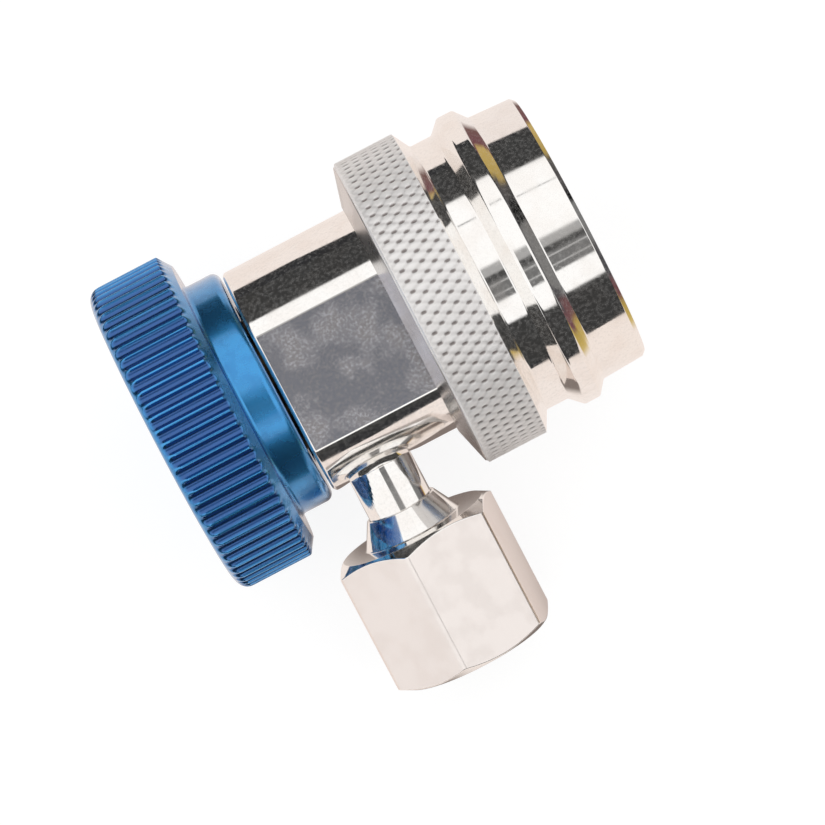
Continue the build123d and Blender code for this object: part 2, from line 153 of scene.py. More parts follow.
def rounded(corners: Sequence[Corner]) -> list[Point]:
    """Round the corners of a closed outline and guard its straight stretches.

    Args:
        corners: The outline's corners, in order.

    Returns:
        Points as (along, radius), as many for any outline with the same steps.
    """
    points: list[Point] = []
    for index, corner in enumerate(corners):
        here = Vector((corner.along, corner.radius))
        before = corners[index - 1]
        after = corners[(index + 1) % len(corners)]
        back = Vector((before.along, before.radius)) - here
        ahead = Vector((after.along, after.radius)) - here
        if corner.rounding == 0.0:
            points.append((here.x, here.y))
            continue
        turn = pi - back.angle(ahead)
        reach = corner.rounding * tan(turn / 2)
        reach = min(reach, back.length * ROUNDING_SHARE, ahead.length * ROUNDING_SHARE)
        rounding = reach / tan(turn / 2)
        guard = min(GUARD, back.length * GUARD_SHARE, ahead.length * GUARD_SHARE)
        start = here + back.normalized() * reach
        end = here + ahead.normalized() * reach
        centre = here + (back.normalized() + ahead.normalized()).normalized() * hypot(reach, rounding)
        first = (start - centre).normalized()
        last = (end - centre).normalized()
        points.append(tuple(start + back.normalized() * guard))
        for step in range(corner.steps + 1):
            arm = first.slerp(last, step / corner.steps) if turn > STRAIGHT else first
            points.append(tuple(centre + arm * rounding))
        points.append(tuple(end + ahead.normalized() * guard))
    return points


def even_angles(count: int) -> list[float]:
    """Angles of a full turn, evenly spaced."""
    return [2 * pi * index / count for index in range(count)]


@dataclass
class Shell:
    """A closed shell that grows by rows of points, later made into one mesh."""

    name: str
    vertices: list[Vector] = field(default_factory=list)
    faces: list[tuple[int, ...]] = field(default_factory=list)
    tags: dict[str, list[float]] = field(default_factory=dict)

    def ring(self, points: Sequence[Vector]) -> list[int]:
        """Add a row of points.

        Args:
            points: The row's points, in order.

        Returns:
            Their indices.
        """
        start = len(self.vertices)
        self.vertices.extend(points)
        return list(range(start, start + len(points)))

    def bridge(self, near: list[int], far: list[int]) -> None:
        """Join two closed rows by faces. The far row may have a whole number of times as many points.

        Args:
            near: The coarser row.
            far: The finer row, or one with as many points.
        """
        times = len(far) // len(near)
        for index, low in enumerate(near):
            following = near[(index + 1) % len(near)]
            fine = [far[(index * times + step) % len(far)] for step in range(times + 1)]
            self.faces.append((low, following, *reversed(fine)))

    def mesh_object(self, merge: bool = False) -> bpy.types.Object:
        """Make the mesh, with its normals outwards.

        Args:
            merge: True joins the points of each row that lies on the axis.

        Returns:
            The object, linked to the scene, at the origin.
        """
        mesh = bpy.data.meshes.new(self.name)
        mesh.from_pydata([tuple(v) for v in self.vertices], [], self.faces)
        for tag, values in self.tags.items():
            attribute = mesh.attributes.new(tag, "FLOAT", "POINT")
            attribute.data.foreach_set("value", values)
        if merge:
            work = bmesh.new()
            work.from_mesh(mesh)
            bmesh.ops.remove_doubles(work, verts=work.verts, dist=MERGE_DISTANCE)
            work.to_mesh(mesh)
            work.free()
        mesh.validate()
        if enclosed_volume(mesh) < 0:
            mesh.flip_normals()
        return link(self.name, mesh)


def enclosed_volume(mesh: bpy.types.Mesh) -> float:
    """Work out the volume that a closed mesh encloses.

    Args:
        mesh: The mesh.

    Returns:
        The volume, negative where its faces point inwards.
    """
    mesh.calc_loop_triangles()
    total = 0.0
    for triangle in mesh.loop_triangles:
        a, b, c = (mesh.vertices[index].co for index in triangle.vertices)
        total += a.dot(b.cross(c))
    return total / 6


def link(name: str, mesh: bpy.types.Mesh) -> bpy.types.Object:
    """Put a mesh in the scene.

    Args:
        name: The piece's name.
        mesh: Its mesh.

    Returns:
        The object, at the origin.
    """
    piece = bpy.data.objects.new(name, mesh)
    bpy.context.scene.collection.objects.link(piece)
    return piece


def crisp(piece: bpy.types.Object, angle: float = 28.0) -> None:
    """Shade a piece smooth, apart from edges that turn by more than an angle in degrees."""
    piece.data.shade_smooth()
    piece.data.set_sharp_from_angle(angle=radians(angle))


def turned(
    name: str,
    axis: TurningAxis,
    angles: Sequence[float],
    outline: Callable[[float], Sequence[Corner]],
    solid: bool = False,
) -> Shell:
    """Turn an outline, which may change with the angle, into a closed shell.

    Args:
        name: The piece's name.
        axis: The axis it is turned round.
        angles: The angles of its columns, in radians.
        outline: Gives the corners at an angle, always as many.
        solid: True for an outline that begins and ends on the axis.

    Returns:
        The shell, a ring of faces round the axis.
    """
    shell = Shell(name)
    columns = [rounded(outline(angle)) for angle in angles]
    rows = []
    for row in range(len(columns[0])):
        points = [axis.point(*column[row], angle) for column, angle in zip(columns, angles)]
        rows.append(shell.ring(points))
    for near, far in zip(rows, rows[1:]):
        shell.bridge(near, far)
    if not solid:
        shell.bridge(rows[-1], rows[0])
    return shell


def bake(piece: bpy.types.Object) -> None:
    """Keep what a piece's modifiers make of it as its plain mesh.

    Args:
        piece: The piece that is changed.
    """
    bpy.context.view_layer.update()
    evaluated = piece.evaluated_get(bpy.context.evaluated_depsgraph_get())
    result = bpy.data.meshes.new_from_object(evaluated)
    result.name = piece.name
    piece.modifiers.clear()
    piece.data = result


class Socket(Enum):
    """Kinds of input that a node tree offers."""

    NUMBER = "NodeSocketFloat"
    COUNT = "NodeSocketInt"
    VECTOR = "NodeSocketVector"
    GEOMETRY = "NodeSocketGeometry"
    MATERIAL = "NodeSocketMaterial"


class NodeWork:
    """A node tree under construction, with short calls for the nodes that it needs."""

    def __init__(self, tree: bpy.types.NodeTree) -> None:
        """Work on a tree."""
        self.tree = tree

    def node(self, kind: str, **settings: object) -> bpy.types.Node:
        """Add a node.

        Args:
            kind: Blender's name of its type.
            settings: Its properties by name.

        Returns:
            The node.
        """
        made = self.tree.nodes.new(kind)
        for key, value in settings.items():
            setattr(made, key, value)
        return made

    def feed(self, socket: bpy.types.NodeSocket, value: object) -> None:
        """Link a value into a socket, or set it if it is a constant."""
        if isinstance(value, bpy.types.NodeSocket):
            self.tree.links.new(value, socket)
        else:
            socket.default_value = value

    def math(self, operation: str, *values: object) -> bpy.types.NodeSocket:
        """Add a Math node.

        Args:
            operation: Blender's name of the operation.
            values: Its inputs, sockets or numbers.

        Returns:
            Its output.
        """
        made = self.node("ShaderNodeMath", operation=operation)
        for socket, value in zip(made.inputs, values):
            self.feed(socket, value)
        return made.outputs[0]

    def vector(self, operation: str, *values: object, output: str = "Vector") -> bpy.types.NodeSocket:
        """Add a Vector Math node.

        Args:
            operation: Blender's name of the operation.
            values: Its inputs, sockets, vectors or, last, a scale.
            output: The name of the output that is wanted.

        Returns:
            That output.
        """
        made = self.node("ShaderNodeVectorMath", operation=operation)
        sockets = [made.inputs[0], made.inputs["Scale"] if operation == "SCALE" else made.inputs[1]]
        for socket, value in zip(sockets, values):
            self.feed(socket, value)
        return made.outputs[output]

    def ranged(
        self, value: object, low: object, high: object, start: float = 0.0, end: float = 1.0
    ) -> bpy.types.NodeSocket:
        """Carry a value smoothly from one range to another.

        Args:
            value: The value.
            low: Where the change begins.
            high: Where it ends.
            start: The result up to low.
            end: The result from high on.

        Returns:
            The result.
        """
        made = self.node("ShaderNodeMapRange", interpolation_type="SMOOTHSTEP")
        given = {"Value": value, "From Min": low, "From Max": high, "To Min": start, "To Max": end}
        for name, what in given.items():
            self.feed(made.inputs[name], what)
        return made.outputs["Result"]

    def within(
        self, value: bpy.types.NodeSocket, low: float, high: float, soft: float
    ) -> bpy.types.NodeSocket:
        """Tell whether a value lies between two bounds.

        Args:
            value: The value.
            low: The lower bound.
            high: The upper bound.
            soft: Half the width of the change at each bound.

        Returns:
            1 between the bounds and 0 elsewhere.
        """
        away = self.math("ABSOLUTE", self.math("SUBTRACT", value, (low + high) / 2))
        half = (high - low) / 2
        return self.ranged(away, half - soft, half + soft, 1.0, 0.0)

    def blend(self, share: object, first: object, second: object) -> bpy.types.NodeSocket:
        """Mix two colours by a share.

        Args:
            share: How much of the second colour, 0 to 1.
            first: A colour or a socket.
            second: A colour or a socket.

        Returns:
            The mixed colour.
        """
        made = self.node("ShaderNodeMix", data_type="RGBA")
        for name, what in (("Factor", share), ("A", first), ("B", second)):
            self.feed(made.inputs[name], (*what, 1.0) if isinstance(what, tuple) else what)
        return made.outputs["Result"]


class ShapeTree(NodeWork):
    """A Geometry Nodes tree with named inputs."""

    def __init__(self, name: str, numbers: Sequence[str], *, round_axis: bool = False) -> None:
        """Start a tree.

        Args:
            name: Its name.
            numbers: Its number inputs.
            round_axis: True adds the inputs Centre, Axis and Zero.
        """
        super().__init__(bpy.data.node_groups.new(name, "GeometryNodeTree"))
        self.identifiers: dict[str, str] = {}
        self.tree.interface.new_socket("Geometry", in_out="OUTPUT", socket_type=Socket.GEOMETRY.value)
        self.add_input("Geometry", Socket.GEOMETRY)
        for number in numbers:
            self.add_input(number, Socket.NUMBER)
        if round_axis:
            for name_of_vector in ("Centre", "Axis", "Zero"):
                self.add_input(name_of_vector, Socket.VECTOR)
        self.add_input("Material", Socket.MATERIAL)
        self.source = self.node("NodeGroupInput")

    def add_input(self, name: str, kind: Socket) -> None:
        """Offer a named input."""
        item = self.tree.interface.new_socket(name, in_out="INPUT", socket_type=kind.value)
        self.identifiers[name] = item.identifier

    def given(self, name: str) -> bpy.types.NodeSocket:
        """Value of a named input."""
        return self.source.outputs[name]

    def tag(self, name: str) -> bpy.types.NodeSocket:
        """Read a number that is stored at each point.

        Args:
            name: The number's name.

        Returns:
            The number.
        """
        reader = self.node("GeometryNodeInputNamedAttribute", data_type="FLOAT")
        reader.inputs["Name"].default_value = name
        return reader.outputs[0]

    def around(self) -> tuple[bpy.types.NodeSocket, ...]:
        """Place of each point round the axis that the inputs give.

        Returns:
            Distance along the axis, radius, angle in radians, and direction outwards.
        """
        place = self.node("GeometryNodeInputPosition").outputs[0]
        arm = self.vector("SUBTRACT", place, self.given("Centre"))
        along = self.vector("DOT_PRODUCT", arm, self.given("Axis"), output="Value")
        flat = self.vector("SUBTRACT", arm, self.vector("SCALE", self.given("Axis"), along))
        side = self.vector("CROSS_PRODUCT", self.given("Axis"), self.given("Zero"))
        angle = self.math(
            "ARCTAN2",
            self.vector("DOT_PRODUCT", flat, side, output="Value"),
            self.vector("DOT_PRODUCT", flat, self.given("Zero"), output="Value"),
        )
        radius = self.vector("LENGTH", flat, output="Value")
        return along, radius, angle, self.vector("NORMALIZE", flat)

    def sink(self, outward: bpy.types.NodeSocket, depth: object, shade: str, share: object) -> None:
        """Store a shade at each point, move the point towards the axis and finish the tree.

        Args:
            outward: Direction away from the axis.
            depth: How far each point moves.
            shade: Name of the number that is stored for the material.
            share: That number.
        """
        store = self.node("GeometryNodeStoreNamedAttribute", data_type="FLOAT", domain="POINT")
        self.feed(store.inputs["Geometry"], self.given("Geometry"))
        self.feed(store.inputs["Name"], shade)
        self.feed(store.inputs["Value"], share)
        move = self.node("GeometryNodeSetPosition")
        self.feed(move.inputs["Geometry"], store.outputs[0])
        self.feed(move.inputs["Offset"], self.vector("SCALE", outward, self.math("MULTIPLY", depth, -1.0)))
        self.finish(move.outputs[0])

    def finish(self, geometry: bpy.types.NodeSocket) -> None:
        """End the tree in Realize Instances and Set Material.

        Args:
            geometry: What the tree has made.
        """
        realize = self.node("GeometryNodeRealizeInstances")
        paint = self.node("GeometryNodeSetMaterial")
        self.feed(realize.inputs[0], geometry)
        self.feed(paint.inputs["Geometry"], realize.outputs[0])
        self.feed(paint.inputs["Material"], self.given("Material"))
        self.feed(self.node("NodeGroupOutput").inputs[0], paint.outputs[0])

    def apply(self, piece: bpy.types.Object, **values: object) -> None:
        """Run the tree on a piece and keep the result as its plain mesh.

        Args:
            piece: The piece that is changed.
            values: The tree's inputs by name.
        """
        modifier = piece.modifiers.new(self.tree.name, "NODES")
        modifier.node_group = self.tree
        for name, value in values.items():
            modifier[self.identifiers[name]] = value
        bake(piece)


def knurl_tree() -> ShapeTree:
    """Make the tree that rolls a diamond knurl into the points tagged with a knurl weight, and stores painted
    shade for its pits and grooves.

    Returns:
        The tree.
    """
    sizes = ("Lines", "Lead", "Groove_depth", "Pit_depth", "Groove")
    tree = ShapeTree("diamond_knurl", sizes, round_axis=True)
    along, _, angle, outward = tree.around()
    lines = tree.math("MULTIPLY", tree.given("Lines"), tree.math("DIVIDE", angle, 2 * pi))
    climb = tree.math("DIVIDE", along, tree.given("Lead"))
    cuts = []
    for operation in ("ADD", "SUBTRACT"):
        turn = tree.math("FRACT", tree.math(operation, lines, climb))
        near = tree.math("MULTIPLY", tree.math("ABSOLUTE", tree.math("SUBTRACT", turn, 0.5)), 2.0)
        cuts.append(tree.ranged(near, tree.math("SUBTRACT", 1.0, tree.given("Groove")), 1.0))
    both = tree.math("MULTIPLY", tree.math("ADD", *cuts), tree.given("Groove_depth"))
    crossing = tree.math("MULTIPLY", *cuts)
    depth = tree.math("MULTIPLY_ADD", crossing, tree.given("Pit_depth"), both)
    weight = tree.tag("knurl")
    # Painted shade: the grooves, and more so the pits where they cross, are stored for the material to darken
    line = tree.math("MULTIPLY", tree.math("MAXIMUM", *cuts), KNURL_LINE_SHADE)
    painted_pit_shade = tree.math("MAXIMUM", tree.ranged(crossing, *PIT_SHADE), line)
    tree.sink(outward, tree.math("MULTIPLY", depth, weight), "painted_pit_shade", tree.math("MULTIPLY", painted_pit_shade, weight))
    return tree


def flute_tree() -> ShapeTree:
    """Make the tree that mills round flutes along the axis into a knob's rim, and stores painted shade for
    their valleys.

    Returns:
        The tree.
    """
    tree = ShapeTree("rim_flutes", ("Count", "Rim", "Cutter", "Stand", "Crest"), round_axis=True)
    _, radius, angle, outward = tree.around()
    sector = tree.math("DIVIDE", 2 * pi, tree.given("Count"))
    turn = tree.math("ADD", tree.math("DIVIDE", angle, sector), 0.5)
    aside_angle = tree.math("MULTIPLY", tree.math("SUBTRACT", tree.math("FRACT", turn), 0.5), sector)
    centre = tree.math("ADD", tree.given("Rim"), tree.given("Stand"))
    aside = tree.math("MULTIPLY", centre, tree.math("SINE", aside_angle))
    inner = tree.math(
        "SUBTRACT",
        tree.math("POWER", tree.given("Cutter"), 2.0),
        tree.math("POWER", aside, 2.0),
    )
    root = tree.math("SQRT", tree.math("MAXIMUM", inner, 0.0))
    floor = tree.math("SUBTRACT", tree.math("MULTIPLY", centre, tree.math("COSINE", aside_angle)), root)
    above = tree.math("SUBTRACT", radius, floor)
    depth = tree.math("SMOOTH_MAX", above, 0.0, tree.given("Crest"))
    full = tree.math("SUBTRACT", tree.given("Cutter"), tree.given("Stand"))
    below_rim = [
        tree.math("DIVIDE", tree.math("SUBTRACT", tree.given("Rim"), level), full)
        for level in (floor, radius)
    ]
    share = tree.ranged(below_rim[0], *VALLEY_SHADE)
    near_rim = tree.ranged(below_rim[1], *RIM_SHADE, 1.0, 0.0)
    # Painted shade: the share stored here darkens the valleys of the flutes
    tree.sink(outward, depth, "valley", tree.math("MULTIPLY", share, near_rim))
    return tree


def thread_tree() -> ShapeTree:
    """Make the tree that cuts a screw thread into the points tagged with a thread weight.

    Returns:
        The tree.
    """
    tree = ShapeTree("hose_thread", ("Pitch", "Depth"), round_axis=True)
    along, _, angle, outward = tree.around()
    climb = tree.math("DIVIDE", along, tree.given("Pitch"))
    turn = tree.math("FRACT", tree.math("ADD", climb, tree.math("DIVIDE", angle, 2 * pi)))
    near = tree.math("MULTIPLY", tree.math("ABSOLUTE", tree.math("SUBTRACT", turn, 0.5)), 2.0)
    flank = tree.node("ShaderNodeMapRange")
    for name, what in zip(("Value", "From Min", "From Max"), (near, *THREAD_FLANK)):
        tree.feed(flank.inputs[name], what)
    share = tree.math("MULTIPLY", flank.outputs["Result"], tree.tag("thread"))
    inward = tree.math("MULTIPLY", tree.math("MULTIPLY", share, tree.given("Depth")), -1.0)
    tree.sink(outward, inward, "root", share)
    return tree


def coil_tree() -> ShapeTree:
    """Make the tree that winds a coil spring along the main axis, from its front end backwards.

    Returns:
        The tree.
    """
    tree = ShapeTree("wound_coil", ("Front", "Length", "Turns", "Ring", "Wire"))
    line = tree.node("GeometryNodeCurveSpiral")
    tree.feed(line.inputs["Resolution"], COIL_STEPS)
    tree.feed(line.inputs["Rotations"], tree.given("Turns"))
    tree.feed(line.inputs["Start Radius"], tree.given("Ring"))
    tree.feed(line.inputs["End Radius"], tree.given("Ring"))
    tree.feed(line.inputs["Height"], tree.given("Length"))
    tree.feed(line.inputs["Reverse"], True)
    profile = tree.node("GeometryNodeCurvePrimitiveCircle")
    tree.feed(profile.inputs["Resolution"], WIRE_STEPS)
    tree.feed(profile.inputs["Radius"], tree.given("Wire"))
    wire = tree.node("GeometryNodeCurveToMesh")
    tree.feed(wire.inputs["Curve"], line.outputs[0])
    tree.feed(wire.inputs["Profile Curve"], profile.outputs[0])
    tree.feed(wire.inputs["Fill Caps"], True)
    shift = tree.node("ShaderNodeCombineXYZ")
    tree.feed(shift.inputs["X"], tree.given("Front"))
    lay = tree.node("GeometryNodeTransform")
    tree.feed(lay.inputs["Geometry"], wire.outputs[0])
    tree.feed(lay.inputs["Translation"], shift.outputs[0])
    tree.feed(lay.inputs["Rotation"], Matrix(((0, 0, -1), (0, -1, 0), (-1, 0, 0))).to_euler())
    tree.finish(lay.outputs[0])
    return tree


def ball_tree() -> ShapeTree:
    """Make the tree that sets balls evenly round the main axis.

    Returns:
        The tree.
    """
    tree = ShapeTree("ball_ring", ("Place", "Ring", "Ball"))
    tree.add_input("Count", Socket.COUNT)
    circle = tree.node("GeometryNodeMeshCircle")
    tree.feed(circle.inputs["Vertices"], tree.given("Count"))
    tree.feed(circle.inputs["Radius"], tree.given("Ring"))
    shift = tree.node("ShaderNodeCombineXYZ")
    tree.feed(shift.inputs["X"], tree.given("Place"))
    stand = tree.node("GeometryNodeTransform")
    tree.feed(stand.inputs["Geometry"], circle.outputs[0])
    tree.feed(stand.inputs["Translation"], shift.outputs[0])
    tree.feed(stand.inputs["Rotation"], (pi / 2, 0.0, pi / 2))
    ball = tree.node("GeometryNodeMeshUVSphere")
    tree.feed(ball.inputs["Segments"], BALL_SEGMENTS)
    tree.feed(ball.inputs["Rings"], BALL_SEGMENTS // 2)
    tree.feed(ball.inputs["Radius"], tree.given("Ball"))
    copies = tree.node("GeometryNodeInstanceOnPoints")
    tree.feed(copies.inputs["Points"], stand.outputs[0])
    tree.feed(copies.inputs["Instance"], ball.outputs[0])
    tree.finish(copies.outputs[0])
    return tree


@dataclass(frozen=True)
class MetalFinish:
    """A bare, plated or anodised metal surface, with fine marks and slight changes of tone.

    The dull colour comes in patches and the speck colour in small spots, and tarnish is how much of
    the metal's mirror is lost in those spots. A tag names the number, stored at each point, that
    brings in the painted shade colour: painted shade in hollows such as knurl pits and flute valleys.
    """

    name: str
    colour: Colour
    dull_colour: Colour
    roughness: float
    roughness_spread: float
    mark_height: float
    mark_scale: tuple[float, float, float]
    patch_scale: float = 300.0
    speck_colour: Colour | None = None
    speck_scale: float = 3000.0
    speck_roughness: float = 0.0
    speck_range: tuple[float, float] = (0.52, 0.70)
    tarnish: float = 0.0
    tag: str = ""
    painted_shade_colour: Colour = (0.0, 0.0, 0.0)
    coat: float = 0.0
    metallic: float = 1.0

    def material(self) -> bpy.types.Material:
        """Build the material from its nodes.

        Returns:
            The material, patterned on Object coordinates.
        """
        made = bpy.data.materials.new(self.name)
        made.use_nodes = True
        work = NodeWork(made.node_tree)
        shader = made.node_tree.nodes["Principled BSDF"]
        shader.inputs["Metallic"].default_value = self.metallic
        shader.inputs["Coat Weight"].default_value = self.coat
        shader.inputs["Coat Roughness"].default_value = COAT_ROUGHNESS
        place = work.node("ShaderNodeTexCoord").outputs["Object"]
        patch = work.ranged(self.noise(work, place, self.patch_scale, 5.0), *PATCH_RANGE)
        tone = work.blend(patch, self.colour, self.dull_colour)
        gloss = work.ranged(patch, 0.0, 1.0, self.roughness, self.roughness + self.roughness_spread)
        if self.speck_colour or self.speck_roughness:
            specks = work.ranged(self.noise(work, place, self.speck_scale, 3.0), *self.speck_range)
            if self.tarnish:
                bright = work.math("MULTIPLY_ADD", specks, -self.tarnish, self.metallic)
                work.feed(shader.inputs["Metallic"], bright)
            if self.speck_colour:
                tone = work.blend(specks, tone, self.speck_colour)
            gloss = work.math("MAXIMUM", gloss, work.math("MULTIPLY", specks, self.speck_roughness))
        # Painted shade: a stored share darkens the tone towards the painted shade colour
        if self.tag:
            reader = work.node("ShaderNodeAttribute", attribute_type="GEOMETRY", attribute_name=self.tag)
            tone = work.blend(reader.outputs["Fac"], tone, self.painted_shade_colour)
        work.feed(shader.inputs["Base Color"], tone)
        work.feed(shader.inputs["Roughness"], gloss)
        stretch = work.node("ShaderNodeMapping")
        stretch.inputs["Scale"].default_value = self.mark_scale
        work.feed(stretch.inputs["Vector"], place)
        bump = work.node("ShaderNodeBump")
        bump.inputs["Strength"].default_value = 1.0
        bump.inputs["Distance"].default_value = self.mark_height
        work.feed(bump.inputs["Height"], self.noise(work, stretch.outputs["Vector"], 1.0, 3.0))
        work.feed(shader.inputs["Normal"], bump.outputs["Normal"])
        return made

    @staticmethod
    def noise(
        work: NodeWork, place: bpy.types.NodeSocket, scale: float, detail: float
    ) -> bpy.types.NodeSocket:
        """Add a noise.

        Args:
            work: The material's nodes.
            place: Where it is read.
            scale: Its scale, per metre.
            detail: How many finer layers it has.

        Returns:
            The noise, 0 to 1.
        """
        texture = work.node("ShaderNodeTexNoise")
        texture.inputs["Scale"].default_value = scale
        texture.inputs["Detail"].default_value = detail
        work.feed(texture.inputs["Vector"], place)
        return texture.outputs["Fac"]


@dataclass(frozen=True)
class SoftFinish(MetalFinish):
    """A rubber or plastic surface."""

    metallic: float = 0.0


FINISHES = (
    MetalFinish(
        "polished_nickel",
        (0.95, 0.935, 0.915),
        (0.92, 0.89, 0.86),
        0.05,
        0.05,
        9e-7,
        (3600, 2400, 2400),
        speck_scale=2600.0,
        speck_roughness=0.11,
        speck_range=(0.38, 0.72),
        tarnish=0.09,
    ),
    MetalFinish(
        "knurled_nickel",
        (0.985, 0.965, 0.955),
        (0.95, 0.925, 0.91),
        0.34,
        0.08,
        1e-6,
        (3600, 2400, 2400),
        # Painted shade: the stored share darkens the knurl's pits and grooves towards this colour
        tag="painted_pit_shade",
        painted_shade_colour=(0.27, 0.24, 0.23),
        metallic=0.2,
    ),
    MetalFinish(
        # Rougher turned nickel with painted shade: a darker grey for the sleeve's rear end behind the ring
        "painted_shade_nickel", (0.62, 0.60, 0.59), (0.58, 0.56, 0.55), 0.24, 0.06, 2e-6, (5000, 900, 900)
    ),
    MetalFinish(
        "milled_nickel",
        (0.62, 0.63, 0.71),
        (0.48, 0.46, 0.47),
        0.17,
        0.10,
        2.4e-6,
        (2400, 2400, 2400),
        230.0,
        (0.73, 0.725, 0.77),
        3200.0,
        speck_range=(0.40, 0.72),
    ),
    MetalFinish(
        "satin_nickel",
        (0.91, 0.845, 0.81),
        (0.90, 0.832, 0.795),
        0.30,
        0.05,
        1.3e-6,
        (1400, 1400, 1400),
        420.0,
    ),
    MetalFinish(
        "blue_anodised",
        (0.045, 0.33, 0.72),
        (0.04, 0.295, 0.675),
        0.25,
        0.06,
        1.5e-6,
        (3000, 1400, 1400),
        600.0,
        # Painted shade: the stored valley share darkens the flutes and the rim's front face towards this
        # colour
        tag="valley",
        painted_shade_colour=(0.022, 0.105, 0.34),
        coat=0.8,
        metallic=0.88,
    ),
    MetalFinish(
        "plain_brass", (0.80, 0.60, 0.28), (0.72, 0.52, 0.24), 0.18, 0.12, 1.5e-6, (4000, 800, 800)
    ),
    MetalFinish(
        # Brass made nearly black: painted shade for the gland parts deep in the gap behind the knob
        "painted_shade_brass", (0.10, 0.075, 0.045), (0.07, 0.05, 0.035), 0.42, 0.16, 2e-6, (2500, 1500, 1500)
    ),
    MetalFinish(
        "bearing_steel", (0.74, 0.74, 0.75), (0.68, 0.68, 0.70), 0.05, 0.04, 3e-7, (900, 900, 900)
    ),
    MetalFinish(
        "spring_steel", (0.52, 0.52, 0.54), (0.42, 0.42, 0.44), 0.24, 0.12, 1e-6, (2500, 2500, 2500), 900.0
    ),
    SoftFinish(
        "black_rubber", (0.018, 0.018, 0.019), (0.03, 0.03, 0.032), 0.45, 0.2, 3e-6, (1500, 1500, 1500)
    ),
    SoftFinish(
        "white_plastic", (0.80, 0.80, 0.78), (0.74, 0.74, 0.72), 0.35, 0.12, 2e-6, (1200, 1200, 1200)
    ),
)


class Palette:
    """The materials of the coupler, one of each."""

    def __init__(self) -> None:
        """Build every finish once."""
        self.materials = {finish.name: finish.material() for finish in FINISHES}

    def __getitem__(self, name: str) -> bpy.types.Material:
        """Material by name."""
        return self.materials[name]

    def dress(self, piece: bpy.types.Object, *names: str) -> None:
        """Give a piece its materials, in the order of its face indices."""
        piece.data.materials.clear()
        for name in names:
            piece.data.materials.append(self.materials[name])


@dataclass(frozen=True)
class Places:
    """Places and directions that every class shares, read from the frame."""

    flat: Vector
    port_along: float
    main_axis: TurningAxis
    level_axis: TurningAxis
    port_axis: TurningAxis

    @classmethod
    def from_frame(cls) -> "Places":
        """Read the side port's direction from its joint and its place from the post's box.

        Returns:
            The shared places.
        """
        slide = next(joint for joint in frame["joints"] if joint["name"] == "nut_slide")
        port = -Vector(slide["axis"]).normalized()
        main = Vector((1.0, 0.0, 0.0))
        start = Vector((0.0, 0.0, 0.0))
        flat = port.cross(main)
        low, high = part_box("post")
        port_along = (low.x + high.x) / 2
        return cls(
            flat,
            port_along / MM,
            TurningAxis(start, main, flat),
            TurningAxis(start, main, Vector((0.0, 0.0, 1.0))),
            TurningAxis(Vector((port_along, 0.0, 0.0)), port, main),
        )


def axis_inputs(axis: TurningAxis) -> dict[str, Vector]:
    """Inputs of a tree that works round an axis."""
    return {"Centre": axis.origin, "Axis": axis.along, "Zero": axis.zero}


def span(node: str) -> tuple[float, float]:
    """Lowest and highest place of a node along the main axis, in mm."""
    low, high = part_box(node)
    return low.x / MM, high.x / MM


def reach_of(node: str) -> float:
    """Radius of a node that is turned round the main axis, in mm."""
    low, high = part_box(node)
    return max(high.y, -low.y) / MM


@dataclass
class Assembly:
    """What every sub-assembly shares: its places and its materials."""

    places: Places
    palette: Palette

    def seat(self, piece: bpy.types.Object, body: str, node: str, slot: str) -> bpy.types.Object:
        """Let a finished piece ride on a body in the place of a node.

        Args:
            piece: The piece.
            body: The body that carries it.
            node: The node that it stands for.
            slot: Not used.

        Returns:
            The piece.
        """
        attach(piece, body)
        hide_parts(node)
        LOG.info("%s: %d faces", piece.name, len(piece.data.polygons))
        return piece

    def turn_plain(
        self,
        name: str,
        axis: TurningAxis,
        corners: Sequence[Corner],
        body: str,
        node: str,
        finish: str,
        columns: int = RING_COLUMNS,
    ) -> bpy.types.Object:
        """Make a plain turned piece in the place of a node.

        Args:
            name: The piece's name.
            axis: The axis it is turned round.
            corners: Its outline.
            body: The body that carries it.
            node: The node that it stands for.
            finish: Its finish, named as its material slot is.
            columns: How many columns it has round the axis.

        Returns:
            The dressed piece.
        """
        piece = turned(name, axis, even_angles(columns), lambda angle: corners).mesh_object()
        self.palette.dress(piece, finish)
        crisp(piece)
        return self.seat(piece, body, node, finish)


